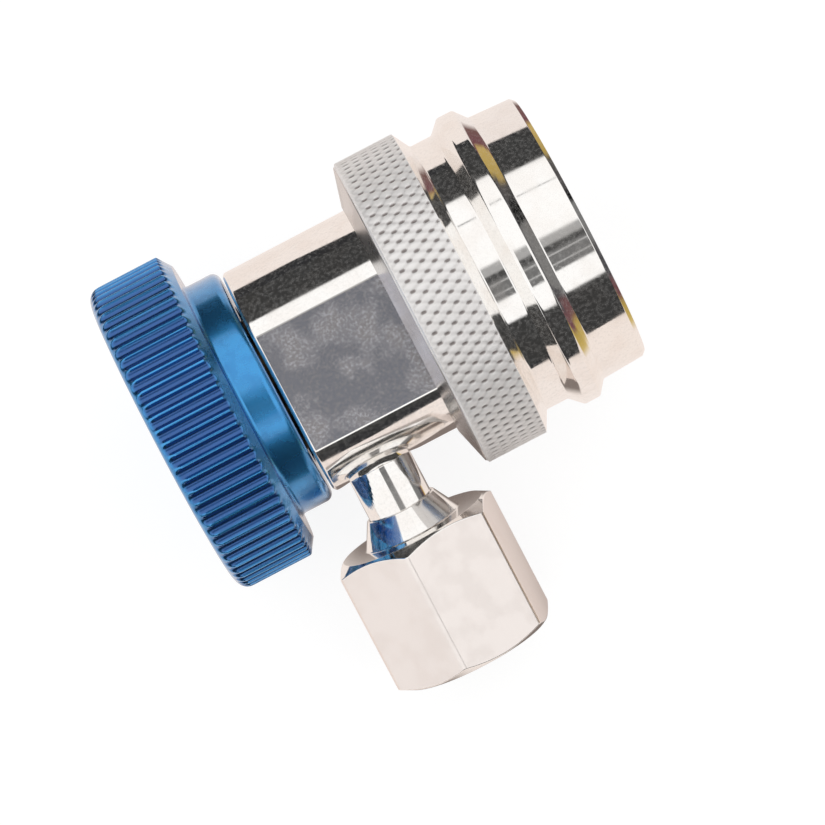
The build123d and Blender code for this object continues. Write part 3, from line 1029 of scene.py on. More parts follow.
@dataclass
class SleeveAssembly(Assembly):
    """The sliding sleeve with its knurled ring."""

    mouth_edge: float = 0.42
    mouth_edge_length: float = 0.45
    mouth_radius: float = 13.2
    mouth_depth: float = 2.4
    band_radius: float = 15.25
    band_rise: float = 0.25
    band_length: float = 5.2
    rib_front_slope: float = 1.15
    rib_width: float = 1.8
    rib_radius: float = 16.95
    rib_rear_slope: float = 1.35
    waist_radius: float = 15.6
    waist_length: float = 2.5
    ring_front_slope: float = 1.15
    ring_width: float = 6.75
    ring_edge: float = 0.3
    bore_radius: float = 12.98
    rear_lip: float = 0.35
    land_front: float = -2.9
    land_rear: float = -7.5
    land_radius: float = 10.45
    land_edge: float = 0.4
    release_radius: float = 11.6
    knurl_lines: int = 92
    knurl_lead: float = 2.29
    knurl_groove_depth: float = 0.05
    knurl_pit_depth: float = 0.08
    knurl_groove: float = 0.62
    knurl_fade: float = 0.2
    knurl_columns: int = 12
    knurl_rows: int = 48
    column_ratio: int = 4
    crease: float = 42.0
    spring_wire: float = 0.4
    spring_turns: float = 4.0
    spring_seat: float = -16.6
    spring_crease: float = 40.0

    def outside(self, front: float, ring_radius: float) -> list[Corner]:
        """Corners of the sleeve's outside, from its mouth back to the knurled ring.

        Args:
            front: The mouth's place.
            ring_radius: Radius of the knurled ring.

        Returns:
            The corners, the last one at the ring's front edge.
        """
        band_rear = front - self.band_length
        rib_front = band_rear - self.rib_front_slope
        rib_rear = rib_front - self.rib_width
        waist_front = rib_rear - self.rib_rear_slope
        waist_rear = waist_front - self.waist_length
        return [
            Corner(front, self.band_radius - self.mouth_edge, 0.10),
            Corner(front - self.mouth_edge_length, self.band_radius, 0.12),
            Corner(band_rear, self.band_radius + self.band_rise, 0.30, 6),
            Corner(rib_front, self.rib_radius, 0.45, 8),
            Corner(rib_rear, self.rib_radius, 0.5, 8),
            Corner(waist_front, self.waist_radius, 0.35, 6),
            Corner(waist_rear, self.waist_radius, 0.30, 6),
            Corner(waist_rear - self.ring_front_slope, ring_radius, 0.0),
        ]

    def inside(self, front: float, rear: float) -> list[Corner]:
        """Corners of the sleeve's inside, from its rear edge forward to its mouth.

        Args:
            front: The mouth's place.
            rear: The rear end's place.

        Returns:
            The corners.
        """
        return [
            Corner(rear, self.bore_radius + self.rear_lip, 0.1),
            Corner(rear, self.bore_radius, 0.08),
            Corner(self.land_rear, self.bore_radius, 0.1),
            Corner(self.land_rear, self.land_radius, 0.08),
            Corner(self.land_front - self.land_edge, self.land_radius, 0.1),
            Corner(self.land_front, self.land_radius + self.land_edge, 0.05),
            Corner(self.land_front, self.release_radius, 0.1),
            Corner(front - self.mouth_depth, self.release_radius, 0.15),
            Corner(front, self.mouth_radius, 0.1),
        ]

    def build(self) -> bpy.types.Object:
        """Make the sleeve, a turned shell whose ring has more columns than the rest.

        Returns:
            The dressed sleeve.
        """
        rear, front = span("sleeve")
        ring_radius = reach_of("sleeve")
        outside = self.outside(front, ring_radius)
        ring_front = outside[-1].along
        ring_rear = ring_front - self.ring_width
        edge = Corner(ring_rear - self.ring_edge, ring_radius - self.ring_edge, 0.12)
        outline = rounded([edge, *self.inside(front, rear), *outside])
        columns = self.knurl_lines * self.knurl_columns
        coarse = even_angles(columns // self.column_ratio)
        fine = even_angles(columns)
        axis = self.places.main_axis
        shell = Shell("sleeve_shell")
        rows = [shell.ring([axis.point(*point, angle) for angle in coarse]) for point in outline[:-1]]
        knurl = [0.0] * len(shell.vertices)
        fine_rows = []
        for index in range(self.knurl_rows + 1):
            share = index / self.knurl_rows
            along = ring_front - self.ring_width * share
            fine_rows.append(shell.ring([axis.point(along, ring_radius, angle) for angle in fine]))
            inset = self.ring_width * min(share, 1.0 - share)
            knurl += [min(1.0, inset / self.knurl_fade)] * len(fine)
        for near, far in zip(rows, rows[1:]):
            shell.bridge(near, far)
        shell.bridge(rows[-1], fine_rows[0])
        for near, far in zip(fine_rows, fine_rows[1:]):
            shell.bridge(near, far)
        for index, low in enumerate(rows[0]):
            following = rows[0][(index + 1) % len(coarse)]
            steps = [index * self.column_ratio + step for step in range(self.column_ratio + 1)]
            fine_edge = [fine_rows[-1][step % len(fine)] for step in steps]
            shell.faces.append((following, low, *fine_edge))
        shell.tags["knurl"] = knurl
        sleeve = shell.mesh_object()
        knurl_tree().apply(
            sleeve,
            Lines=float(self.knurl_lines),
            Lead=self.knurl_lead * MM,
            Groove_depth=self.knurl_groove_depth * MM,
            Pit_depth=self.knurl_pit_depth * MM,
            Groove=self.knurl_groove,
            Material=self.palette["knurled_nickel"],
            **axis_inputs(axis),
        )
        self.palette.dress(sleeve, "polished_nickel", "knurled_nickel", "painted_shade_nickel")
        for polygon in sleeve.data.polygons:
            centre = polygon.center
            outer = hypot(centre.y, centre.z) > (ring_radius - self.ring_edge) * MM
            if (ring_rear - self.ring_edge) * MM < centre.x < ring_front * MM and outer:
                polygon.material_index = 1
            # Faces behind the ring take the darker nickel, painted shade on the sleeve's rear end
            elif centre.x < ring_rear * MM and hypot(centre.y, centre.z) > self.bore_radius * MM:
                polygon.material_index = 2
        crisp(sleeve, self.crease)
        return self.seat(sleeve, "lock_sleeve", "sleeve", "polished_nickel")

    def build_spring(self) -> bpy.types.Object:
        """Wind the spring that pushes the sleeve forward.

        Returns:
            The dressed spring.
        """
        rear, front = span("sleeve_spring")
        ring = reach_of("sleeve_spring") - self.spring_wire
        spring = link("sleeve_coil", bpy.data.meshes.new("sleeve_coil"))
        coil_tree().apply(
            spring,
            Front=(front - self.spring_wire) * MM,
            Length=(front - rear - 2 * self.spring_wire) * MM,
            Turns=self.spring_turns,
            Ring=ring * MM,
            Wire=self.spring_wire * MM,
            Material=self.palette["spring_steel"],
        )
        if enclosed_volume(spring.data) < 0:
            spring.data.flip_normals()
        crisp(spring, self.spring_crease)
        self.seat(spring, "housing", "sleeve_spring", "spring_steel")
        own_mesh(spring)
        return spring


@dataclass
class SocketAssembly(Assembly):
    """What shows in the socket: the locking balls and the seal."""

    ball_radius: float = 2.25
    ball_row: float = 5.2
    ball_ring: float = 8.15
    ball_count: int = 6
    seal_wire: float = 0.95
    seal_ring: float = 5.68

    def build_balls(self) -> bpy.types.Object:
        """Set the locking balls round the socket.

        Returns:
            The dressed balls.
        """
        balls = link("locking_ball_set", bpy.data.meshes.new("locking_ball_set"))
        ball_tree().apply(
            balls,
            Place=-self.ball_row * MM,
            Ring=self.ball_ring * MM,
            Ball=self.ball_radius * MM,
            Count=self.ball_count,
            Material=self.palette["bearing_steel"],
        )
        balls.data.shade_smooth()
        return self.seat(balls, "housing", "locking_balls", "bearing_steel")

    def build_seal(self) -> bpy.types.Object:
        """Make the rubber ring at the bottom of the socket.

        Returns:
            The dressed ring.
        """
        rear, front = span("socket_seal")
        inner, outer = self.seal_ring - self.seal_wire, self.seal_ring + self.seal_wire
        corners = [
            Corner(along, radius, self.seal_wire, 8)
            for along, radius in ((rear, inner), (front, inner), (front, outer), (rear, outer))
        ]
        return self.turn_plain(
            "seal_ring", self.places.main_axis, corners, "housing", "socket_seal", "black_rubber"
        )


@dataclass
class KnobAssembly(Assembly):
    """The blue knob, a plain hub and a fluted rim in one piece, with its screw and washer."""

    hub_radius: float = 13.45
    hub_length: float = 3.9
    hub_round: float = 0.9
    hub_fillet: float = 0.5
    recess_radius: float = 9.2
    recess_depth: float = 3.5
    rim_outer_round: float = 1.5
    rim_inner_edge: float = 1.1
    rim_inner_rise: float = 1.6
    dish_radius: float = 13.6
    dish_depth: float = 1.0
    well_radius: float = 5.0
    drive_half: float = 2.35
    web_rear: float = -43.38
    flute_count: int = 76
    cutter: float = 0.65
    stand: float = 0.15
    crest_round: float = 0.09
    arc_steps: int = 9
    slope_steps: int = 5
    crease: float = 48.0
    # Painted shade on the rim's front face beside the hub, and where that face lies
    painted_face_shade: float = 0.9
    face_margin: float = 0.3
    face_reach: float = 0.1
    washer_hole: float = 1.27
    washer_radius: float = 4.2
    screw_radius: float = 1.25
    head_radius: float = 2.7
    head_height: float = 1.8
    head_flat: float = 0.9
    head_edge: float = 0.6
    hexagon_half: float = 1.25
    hexagon_edge: float = 0.08
    hexagon_depth: float = 1.1
    screw_columns: int = 72
    screw_crease: float = 32.0

    def flute_angles(self, rim: float) -> list[float]:
        """Angles of the columns, closer in each flute and with one on each crest.

        Args:
            rim: The rim's radius in mm.

        Returns:
            Angles in radians.
        """
        centre = rim + self.stand
        edge = acos((rim * rim + centre * centre - self.cutter**2) / (2 * rim * centre))
        swing = asin(min(1.0, rim * sin(edge) / self.cutter))
        angles = []
        for flute in range(self.flute_count):
            middle = 2 * pi * flute / self.flute_count
            for step in range(self.arc_steps + 1):
                across = self.cutter * sin(swing * (2 * step / self.arc_steps - 1))
                angles.append(middle + asin(across / centre))
            angles.append(middle + pi / self.flute_count)
        return angles

    def build(self) -> bpy.types.Object:
        """Make the knob with its flutes milled along the rim.

        Returns:
            The dressed knob.
        """
        outer, hub_front = span("knob")
        rim = reach_of("knob")
        rim_front = hub_front - self.hub_length
        web_front = hub_front - self.recess_depth
        dish_floor = outer + self.dish_depth

        def outline(angle: float) -> list[Corner]:
            """Corners at an angle, with the square hole for the spindle."""
            turn = abs((angle + pi / 4) % (pi / 2) - pi / 4)
            hole = self.drive_half / cos(turn)
            slope = [
                Corner(
                    rim_front - self.rim_inner_edge * step / self.slope_steps,
                    rim - self.rim_inner_rise * (1 - step / self.slope_steps),
                )
                for step in range(1, self.slope_steps)
            ]
            return [
                Corner(web_front, hole, 0.05, 2),
                Corner(web_front, self.recess_radius, 0.2, 2),
                Corner(hub_front, self.recess_radius, 0.15, 2),
                Corner(hub_front, self.hub_radius, self.hub_round, 8),
                Corner(rim_front, self.hub_radius, self.hub_fillet, 6),
                Corner(rim_front, rim - self.rim_inner_rise, 0.2, 2),
                *slope,
                Corner(rim_front - self.rim_inner_edge, rim, 0.3, 4),
                Corner(outer, rim, self.rim_outer_round, 10),
                Corner(outer, self.dish_radius, 0.25, 2),
                Corner(dish_floor, self.dish_radius - self.dish_depth, 0.3, 2),
                Corner(dish_floor, self.well_radius, 0.2, 2),
                Corner(self.web_rear, self.well_radius, 0.2, 2),
                Corner(self.web_rear, hole, 0.05, 2),
            ]

        axis = self.places.level_axis
        knob = turned("knob_shell", axis, self.flute_angles(rim), outline).mesh_object()
        flute_tree().apply(
            knob,
            Count=float(self.flute_count),
            Rim=rim * MM,
            Cutter=self.cutter * MM,
            Stand=self.stand * MM,
            Crest=self.crest_round * MM,
            Material=self.palette["blue_anodised"],
            **axis_inputs(axis),
        )
        # Painted shade: the rim's front face beside the hub is darkened like the flute valleys
        shade = knob.data.attributes["valley"].data
        for index, vertex in enumerate(knob.data.vertices):
            radius = hypot(vertex.co.y, vertex.co.z) / MM
            beside_hub = self.hub_radius + self.face_margin < radius < rim - self.rim_inner_rise
            if beside_hub and abs(vertex.co.x / MM - rim_front) < self.face_reach:
                shade[index].value = self.painted_face_shade
        crisp(knob, self.crease)
        return self.seat(knob, "valve_knob", "knob", "blue_anodised")

    def build_washer(self) -> bpy.types.Object:
        """Make the washer under the screw.

        Returns:
            The dressed washer.
        """
        rear, front = span("knob_washer")
        corners = [
            Corner(front, self.washer_hole, 0.05, 2),
            Corner(front, self.washer_radius, 0.12),
            Corner(rear, self.washer_radius, 0.2),
            Corner(rear, self.washer_hole, 0.05, 2),
        ]
        return self.turn_plain(
            "screw_washer", self.places.level_axis, corners, "valve_knob", "knob_washer", "spring_steel"
        )

    def build_screw(self) -> bpy.types.Object:
        """Make the button-head screw with its hexagon socket.

        Returns:
            The dressed screw.
        """
        rear, front = span("knob_screw")
        head_front = rear + self.head_height

        def outline(angle: float) -> list[Corner]:
            """Corners at an angle, with the hexagon socket."""
            turn = (angle + pi / 6) % (pi / 3) - pi / 6
            hexagon = self.hexagon_half / cos(turn)
            return [
                Corner(front, 0.0),
                Corner(front, self.screw_radius, 0.2, 2),
                Corner(head_front, self.screw_radius, 0.05, 2),
                Corner(head_front, self.head_radius, 0.08, 2),
                Corner(head_front - self.head_edge, self.head_radius, 0.8, 5),
                Corner(rear, self.head_radius - self.head_flat, 0.5, 5),
                Corner(rear, hexagon + self.hexagon_edge),
                Corner(rear + self.hexagon_edge, hexagon),
                Corner(rear + self.hexagon_depth, hexagon),
                Corner(rear + self.hexagon_depth, 0.0),
            ]

        angles = even_angles(self.screw_columns)
        shell = turned("button_screw", self.places.level_axis, angles, outline, solid=True)
        screw = shell.mesh_object(merge=True)
        self.palette.dress(screw, "spring_steel")
        crisp(screw, self.screw_crease)
        return self.seat(screw, "valve_knob", "knob_screw", "spring_steel")


@dataclass
class BodyAssembly(Assembly):
    """The body between the knob and the sleeve, with its socket."""

    radius: float = 12.9
    edge: float = 0.3
    nose_radius: float = 10.2
    nose_edge: float = 0.5
    nose_rear: float = -16.6
    snap_front: float = -1.65
    snap_rear: float = -2.75
    snap_floor: float = 9.5
    flat_half: float = 11.0
    flats_front: float = -18.2
    burr_lean: float = radians(9)
    burr: float = 11.9
    gland_bore: float = 6.0
    gland_floor: float = -30.6
    chamber: float = 4.5
    socket_floor: float = -12.9
    socket: float = 6.65
    relief_rear: float = -10.9
    relief_front: float = -2.3
    relief: float = 6.9
    lead: float = 0.6
    spot_radius: float = 5.2
    spot_half: float = 12.35
    curve_step: float = 1.6
    pocket_radius: float = 2.3
    pocket_ring: float = 8.15
    pocket_row: float = -5.2
    pocket_count: int = 6
    pocket_length: float = 4.0
    pocket_columns: int = 48
    crease: float = 20.0

    def column_angles(self) -> list[float]:
        """Angles of the columns, with one on each edge of a flat and of the spot face.

        Returns:
            Angles in radians, counted from the upper flat towards the side port.
        """
        aside = (self.burr - self.flat_half * cos(self.burr_lean)) / sin(self.burr_lean)
        inner = atan2(aside, self.flat_half)
        outer = self.burr_lean + acos(self.burr / self.radius)
        spot_edge = acos(self.spot_half / self.radius)
        stops = [
            -outer,
            -inner,
            inner,
            outer,
            pi / 2 - spot_edge,
            pi / 2 + spot_edge,
            pi - outer,
            pi - inner,
            pi + inner,
            pi + outer,
            2 * pi - outer,
        ]
        guard = GUARD / self.radius
        angles = []
        for start, end in zip(stops, stops[1:]):
            count = ceil(degrees(end - start) / self.curve_step)
            angles += [start, start + guard]
            angles += [start + (end - start) * step / count for step in range(1, count)]
            angles.append(end - guard)
        return angles

    def outline(self, angle: float) -> list[Corner]:
        """Corners of the body at an angle, with its flats and its spot face.

        Args:
            angle: Angle in radians, counted from the upper flat towards the side port.

        Returns:
            The corners.
        """
        rear, face = span("body")
        port = self.places.port_along
        turn = abs((angle + pi / 2) % pi - pi / 2)
        flat = self.flat_half / max(cos(turn), TINY)
        outer = min(self.radius, flat, self.burr / max(cos(turn - self.burr_lean), TINY))
        from_port = angle - pi / 2
        spot = min(self.radius, self.spot_half / max(cos(from_port), TINY))
        beside = self.spot_half * tan(from_port) if abs(from_port) < 1 else self.spot_radius
        half = sqrt(max(self.spot_radius**2 - beside**2, 0.01))
        if spot >= self.radius:
            half = sqrt(self.spot_radius**2 - self.radius**2 + self.spot_half**2)
            spot = outer
        edge = self.edge * outer / self.radius
        return [
            Corner(0.0, self.socket, 0.1),
            Corner(face, self.socket + self.lead, 0.1),
            Corner(face, self.nose_radius - self.nose_edge, 0.1),
            Corner(face - self.nose_edge, self.nose_radius, 0.1),
            Corner(self.snap_front, self.nose_radius, 0.05, 2),
            Corner(self.snap_front, self.snap_floor, 0.1, 2),
            Corner(self.snap_rear, self.snap_floor, 0.1, 2),
            Corner(self.snap_rear, self.nose_radius, 0.05, 2),
            Corner(self.nose_rear, self.nose_radius, 0.2),
            Corner(self.nose_rear, self.radius, 0.2),
            Corner(self.flats_front, self.radius),
            Corner(self.flats_front - TINY, outer),
            Corner(port + half, outer),
            Corner(port + half - TINY, spot),
            Corner(port - half + TINY, spot),
            Corner(port - half, outer),
            Corner(rear + edge, outer, 0.3, 4),
            Corner(rear, outer - edge, 0.08, 2),
            Corner(rear, self.gland_bore, 0.1, 2),
            Corner(self.gland_floor, self.gland_bore, 0.1, 2),
            Corner(self.gland_floor, self.chamber, 0.1, 2),
            Corner(self.socket_floor, self.chamber, 0.1, 2),
            Corner(self.socket_floor, self.socket, 0.2),
            Corner(self.relief_rear, self.socket, 0.1, 2),
            Corner(self.relief_rear, self.relief, 0.1, 2),
            Corner(self.relief_front, self.relief, 0.1, 2),
            Corner(self.relief_front, self.socket, 0.1, 2),
        ]

    def pocket_cutter(self) -> bpy.types.Object:
        """Make the round-ended cutter that drills the six ball pockets.

        Returns:
            The cutter, which isn't part of the coupler.
        """
        corners = [
            Corner(-self.pocket_radius, 0.0),
            Corner(-self.pocket_radius, self.pocket_radius, self.pocket_radius * 0.999, 10),
            Corner(self.pocket_length, self.pocket_radius),
            Corner(self.pocket_length, 0.0),
        ]
        level = self.places.level_axis
        shells = Shell("pocket_cutter")
        for index in range(self.pocket_count):
            angle = pi / 2 + 2 * pi * index / self.pocket_count
            centre = level.point(self.pocket_row, self.pocket_ring, angle)
            out = (level.point(self.pocket_row, self.pocket_ring + 1, angle) - centre).normalized()
            axis = TurningAxis(centre, out, level.along)
            angles = even_angles(self.pocket_columns)
            drill = turned("drill", axis, angles, lambda angle: corners, solid=True)
            offset = len(shells.vertices)
            shells.vertices += drill.vertices
            shells.faces += [tuple(index + offset for index in face) for face in drill.faces]
        return shells.mesh_object(merge=True)

    def build(self) -> bpy.types.Object:
        """Make the body, turned, milled flat on two sides and drilled for the balls.

        Returns:
            The dressed body.
        """
        body = turned("body_shell", self.places.main_axis, self.column_angles(), self.outline).mesh_object()
        cutter = self.pocket_cutter()
        drill = body.modifiers.new("ball_pockets", "BOOLEAN")
        drill.operation = "DIFFERENCE"
        drill.solver = "EXACT"
        drill.object = cutter
        bake(body)
        bpy.data.objects.remove(cutter)
        self.palette.dress(body, "polished_nickel", "milled_nickel")
        level = self.flat_half * MM
        for polygon in body.data.polygons:
            height = abs(polygon.center.dot(self.places.flat))
            upright = abs(polygon.normal.dot(self.places.flat))
            polygon.material_index = 1 if upright > 0.999 and abs(height - level) < 1e-5 else 0
        crisp(body, self.crease)
        return self.seat(body, "housing", "body", "polished_nickel")


@dataclass
class PortAssembly(Assembly):
    """The post that stands out of the body, the swivel nut on it and the gasket in it."""

    nut_across: float = 17.0
    nut_face_radius: float = 8.2
    nut_corner_radius: float = 9.7
    nut_start: float = 20.4
    nut_length: float = 15.1
    nut_chamfer: float = radians(30)
    nut_turn: float = radians(41)
    nut_round: float = 0.5
    nut_round_steps: int = 6
    side_shares: tuple[float, ...] = (0.2, 0.4, 0.6, 0.8, 0.96, 1.0)
    collar_start: float = 17.6
    collar_radius: float = 5.5
    collar_mouth: float = 3.95
    bore: float = 3.65
    nut_floor: float = 24.1
    thread_radius: float = 6.2
    thread_relief: float = 0.35
    thread_start: float = 28.14
    thread_lead: float = 0.8
    thread_pitch: float = 1.5
    thread_depth: float = 0.75
    thread_rows: int = 54
    thread_runout: float = 0.6
    thread_end_share: float = 0.25
    post_foot: float = 12.37
    post_radius: float = 3.6
    flange_start: float = 24.57
    flange_end: float = 26.37
    flange_radius: float = 5.6
    spigot_end: float = 27.57
    spigot_radius: float = 2.7
    passage: float = 1.75
    thread_end: float = 8.02
    post_thread: float = 3.0
    post_columns: int = 120
    gasket_play: float = 0.02
    gasket_thickness: float = 1.7

    def hexagon(self) -> list[Point]:
        """Outline of the nut across its axis, with its corners slightly rounded.

        Returns:
            Angles in radians and radii in mm.
        """
        half = self.nut_across / 2
        corner = half / cos(pi / 6)
        inset = self.nut_round * tan(pi / 6)
        outline = []
        for side in range(6):
            middle = self.nut_turn + pi / 6 + side * pi / 3
            width = corner * sin(pi / 6) - inset
            for share in (*(-share for share in reversed(self.side_shares)), 0.0, *self.side_shares):
                aside = width * share
                outline.append((middle + atan2(aside, half), hypot(half, aside)))
            centre = (half - self.nut_round) / cos(pi / 6)
            for step in range(1, self.nut_round_steps):
                lean = (step / self.nut_round_steps - 0.5) * pi / 3
                ahead = centre + self.nut_round * cos(lean)
                aside = self.nut_round * sin(lean)
                outline.append((middle + pi / 6 + atan2(aside, ahead), hypot(ahead, aside)))
        return outline

    def build_nut(self) -> bpy.types.Object:
        """Make the hexagon nut with its collar, chamfered ends and thread.

        Returns:
            The dressed nut.
        """
        hexagon = self.hexagon()
        reach_at = dict(hexagon)
        end = self.nut_start + self.nut_length
        slope = tan(self.nut_chamfer)
        thread_front = end - self.thread_lead
        thread_length = thread_front - self.thread_start - 0.2

        def outline(angle: float) -> list[Corner]:
            """Corners at an angle, with the hexagon and its chamfers."""
            side = min(reach_at[angle], self.nut_corner_radius)
            drop = (side - self.nut_face_radius) * slope
            thread = [
                Corner(thread_front - thread_length * row / self.thread_rows, self.thread_radius)
                for row in range(self.thread_rows + 1)
            ]
            return [
                Corner(self.collar_start, self.bore, 0.05, 2),
                Corner(self.collar_start, self.collar_mouth, 0.12),
                Corner(self.nut_start, self.collar_radius, 0.2),
                Corner(self.nut_start, self.nut_face_radius, 0.1),
                Corner(self.nut_start + drop, side, 0.12),
                Corner(end - drop, side, 0.12),
                Corner(end, self.nut_face_radius, 0.1),
                Corner(end, self.thread_radius + self.thread_lead, 0.1),
                *thread,
                Corner(self.thread_start, self.thread_radius),
                Corner(self.thread_start, self.thread_radius + self.thread_relief),
                Corner(self.nut_floor, self.thread_radius + self.thread_relief, 0.1, 2),
                Corner(self.nut_floor, self.bore, 0.05, 2),
            ]

        axis = self.places.port_axis
        shell = turned("nut_shell", axis, [angle for angle, _ in hexagon], outline)
        weights = []
        for along, radius in rounded(outline(hexagon[0][0])):
            on_thread = abs(radius - self.thread_radius) < 1e-6 and along > self.thread_start + 1e-6
            from_end = min(thread_front - along, along - self.thread_start)
            weight = min(1.0, max(0.0, self.thread_end_share + from_end / self.thread_runout))
            weights += [weight if on_thread else 0.0] * len(hexagon)
        shell.tags["thread"] = weights
        nut = shell.mesh_object()
        thread_tree().apply(
            nut,
            Pitch=self.thread_pitch * MM,
            Depth=self.thread_depth * MM,
            Material=self.palette["satin_nickel"],
            **axis_inputs(axis),
        )
        self.palette.dress(nut, "satin_nickel", "polished_nickel")
        for polygon in nut.data.polygons:
            polygon.material_index = 1 if self.is_polished(polygon) else 0
        crisp(nut)
        return self.seat(nut, "hose_nut", "nut", "satin_nickel")

    def is_polished(self, polygon: bpy.types.MeshPolygon) -> bool:
        """Tell whether a face of the nut lies on its collar or a chamfer.

        Args:
            polygon: The face.

        Returns:
            True where it does.
        """
        axis = self.places.port_axis
        arm = polygon.center - axis.origin
        along = arm.dot(axis.along)
        if (arm - axis.along * along).length < (self.thread_radius + self.thread_lead + 0.1) * MM:
            return along < (self.nut_start + 0.3) * MM
        return abs(polygon.normal.dot(axis.along)) > 0.1

    def build_post(self) -> bpy.types.Object:
        """Make the turned post with its flange and spigot.

        Returns:
            The dressed post.
        """
        corners = [
            Corner(self.thread_end, self.passage, 0.05, 2),
            Corner(self.thread_end, self.post_thread, 0.1, 2),
            Corner(self.post_foot, self.post_thread, 0.05, 2),
            Corner(self.post_foot, self.post_radius, 0.15),
            Corner(self.flange_start, self.post_radius, 0.1, 2),
            Corner(self.flange_start, self.flange_radius, 0.1, 2),
            Corner(self.flange_end, self.flange_radius, 0.1, 2),
            Corner(self.flange_end, self.spigot_radius, 0.1, 2),
            Corner(self.spigot_end, self.spigot_radius, 0.15),
            Corner(self.spigot_end, self.passage, 0.15),
        ]
        axis = self.places.port_axis
        return self.turn_plain(
            "post_stem", axis, corners, "housing", "post", "polished_nickel", self.post_columns
        )

    def build_gasket(self) -> bpy.types.Object:
        """Make the rubber gasket that the hose seals on.

        Returns:
            The dressed gasket.
        """
        start = self.flange_end + self.gasket_play
        end = start + self.gasket_thickness
        inner = self.spigot_radius + self.gasket_play
        corners = [
            Corner(start, inner, 0.08, 2),
            Corner(start, self.flange_radius, 0.15),
            Corner(end, self.flange_radius, 0.3),
            Corner(end, inner, 0.25),
        ]
        return self.turn_plain(
            "gasket_ring", self.places.port_axis, corners, "housing", "hose_gasket", "black_rubber"
        )


@dataclass(frozen=True)
class Flag:
    """A dark card in the surround, by its lean from the zenith to +Y and its turn to +X, in degrees."""

    low: float
    high: float
    start: float
    end: float
    soft: float
    strength: float


FLAGS = (
    Flag(58.0, 130.0, -80.0, 80.0, 1.0, 0.96),
    Flag(-14.0, -1.5, -7.0, 13.0, 1.6, 0.62),
    Flag(-30.0, -9.0, -7.0, 13.0, 1.0, 0.84),
    Flag(-130.0, -49.0, -60.0, 60.0, 1.4, 0.96),
    Flag(36.0, 37.0, 1.0, 3.4, 0.5, 0.7),
    Flag(36.0, 37.0, 5.8, 9.0, 0.5, 0.6),
    Flag(-180.0, 180.0, 66.0, 95.0, 2.0, 0.82),
)
SLITS = (
    Flag(-17.3, -16.2, -7.0, 13.0, 0.4, 0.35),
    Flag(-25.1, -24.1, -7.0, 13.0, 0.4, 0.35),
)

# What the floor in front of the socket shows to polished metal, by the direction in degrees from +X
FRONT_COLOURS = (
    (-52.0, (0.92, 0.82, 0.76)),
    (-46.0, (0.62, 0.46, 0.14)),
    (-37.0, (0.45, 0.32, 0.08)),
    (-33.0, (0.17, 0.075, 0.08)),
    (-26.0, (0.15, 0.07, 0.075)),
    (-23.0, (0.07, 0.068, 0.075)),
    (30.0, (0.085, 0.08, 0.08)),
    (34.0, (0.45, 0.32, 0.09)),
    (49.0, (0.55, 0.40, 0.14)),
    (53.0, (0.17, 0.07, 0.08)),
    (66.0, (0.18, 0.10, 0.09)),
    (74.0, (0.90, 0.82, 0.78)),
)


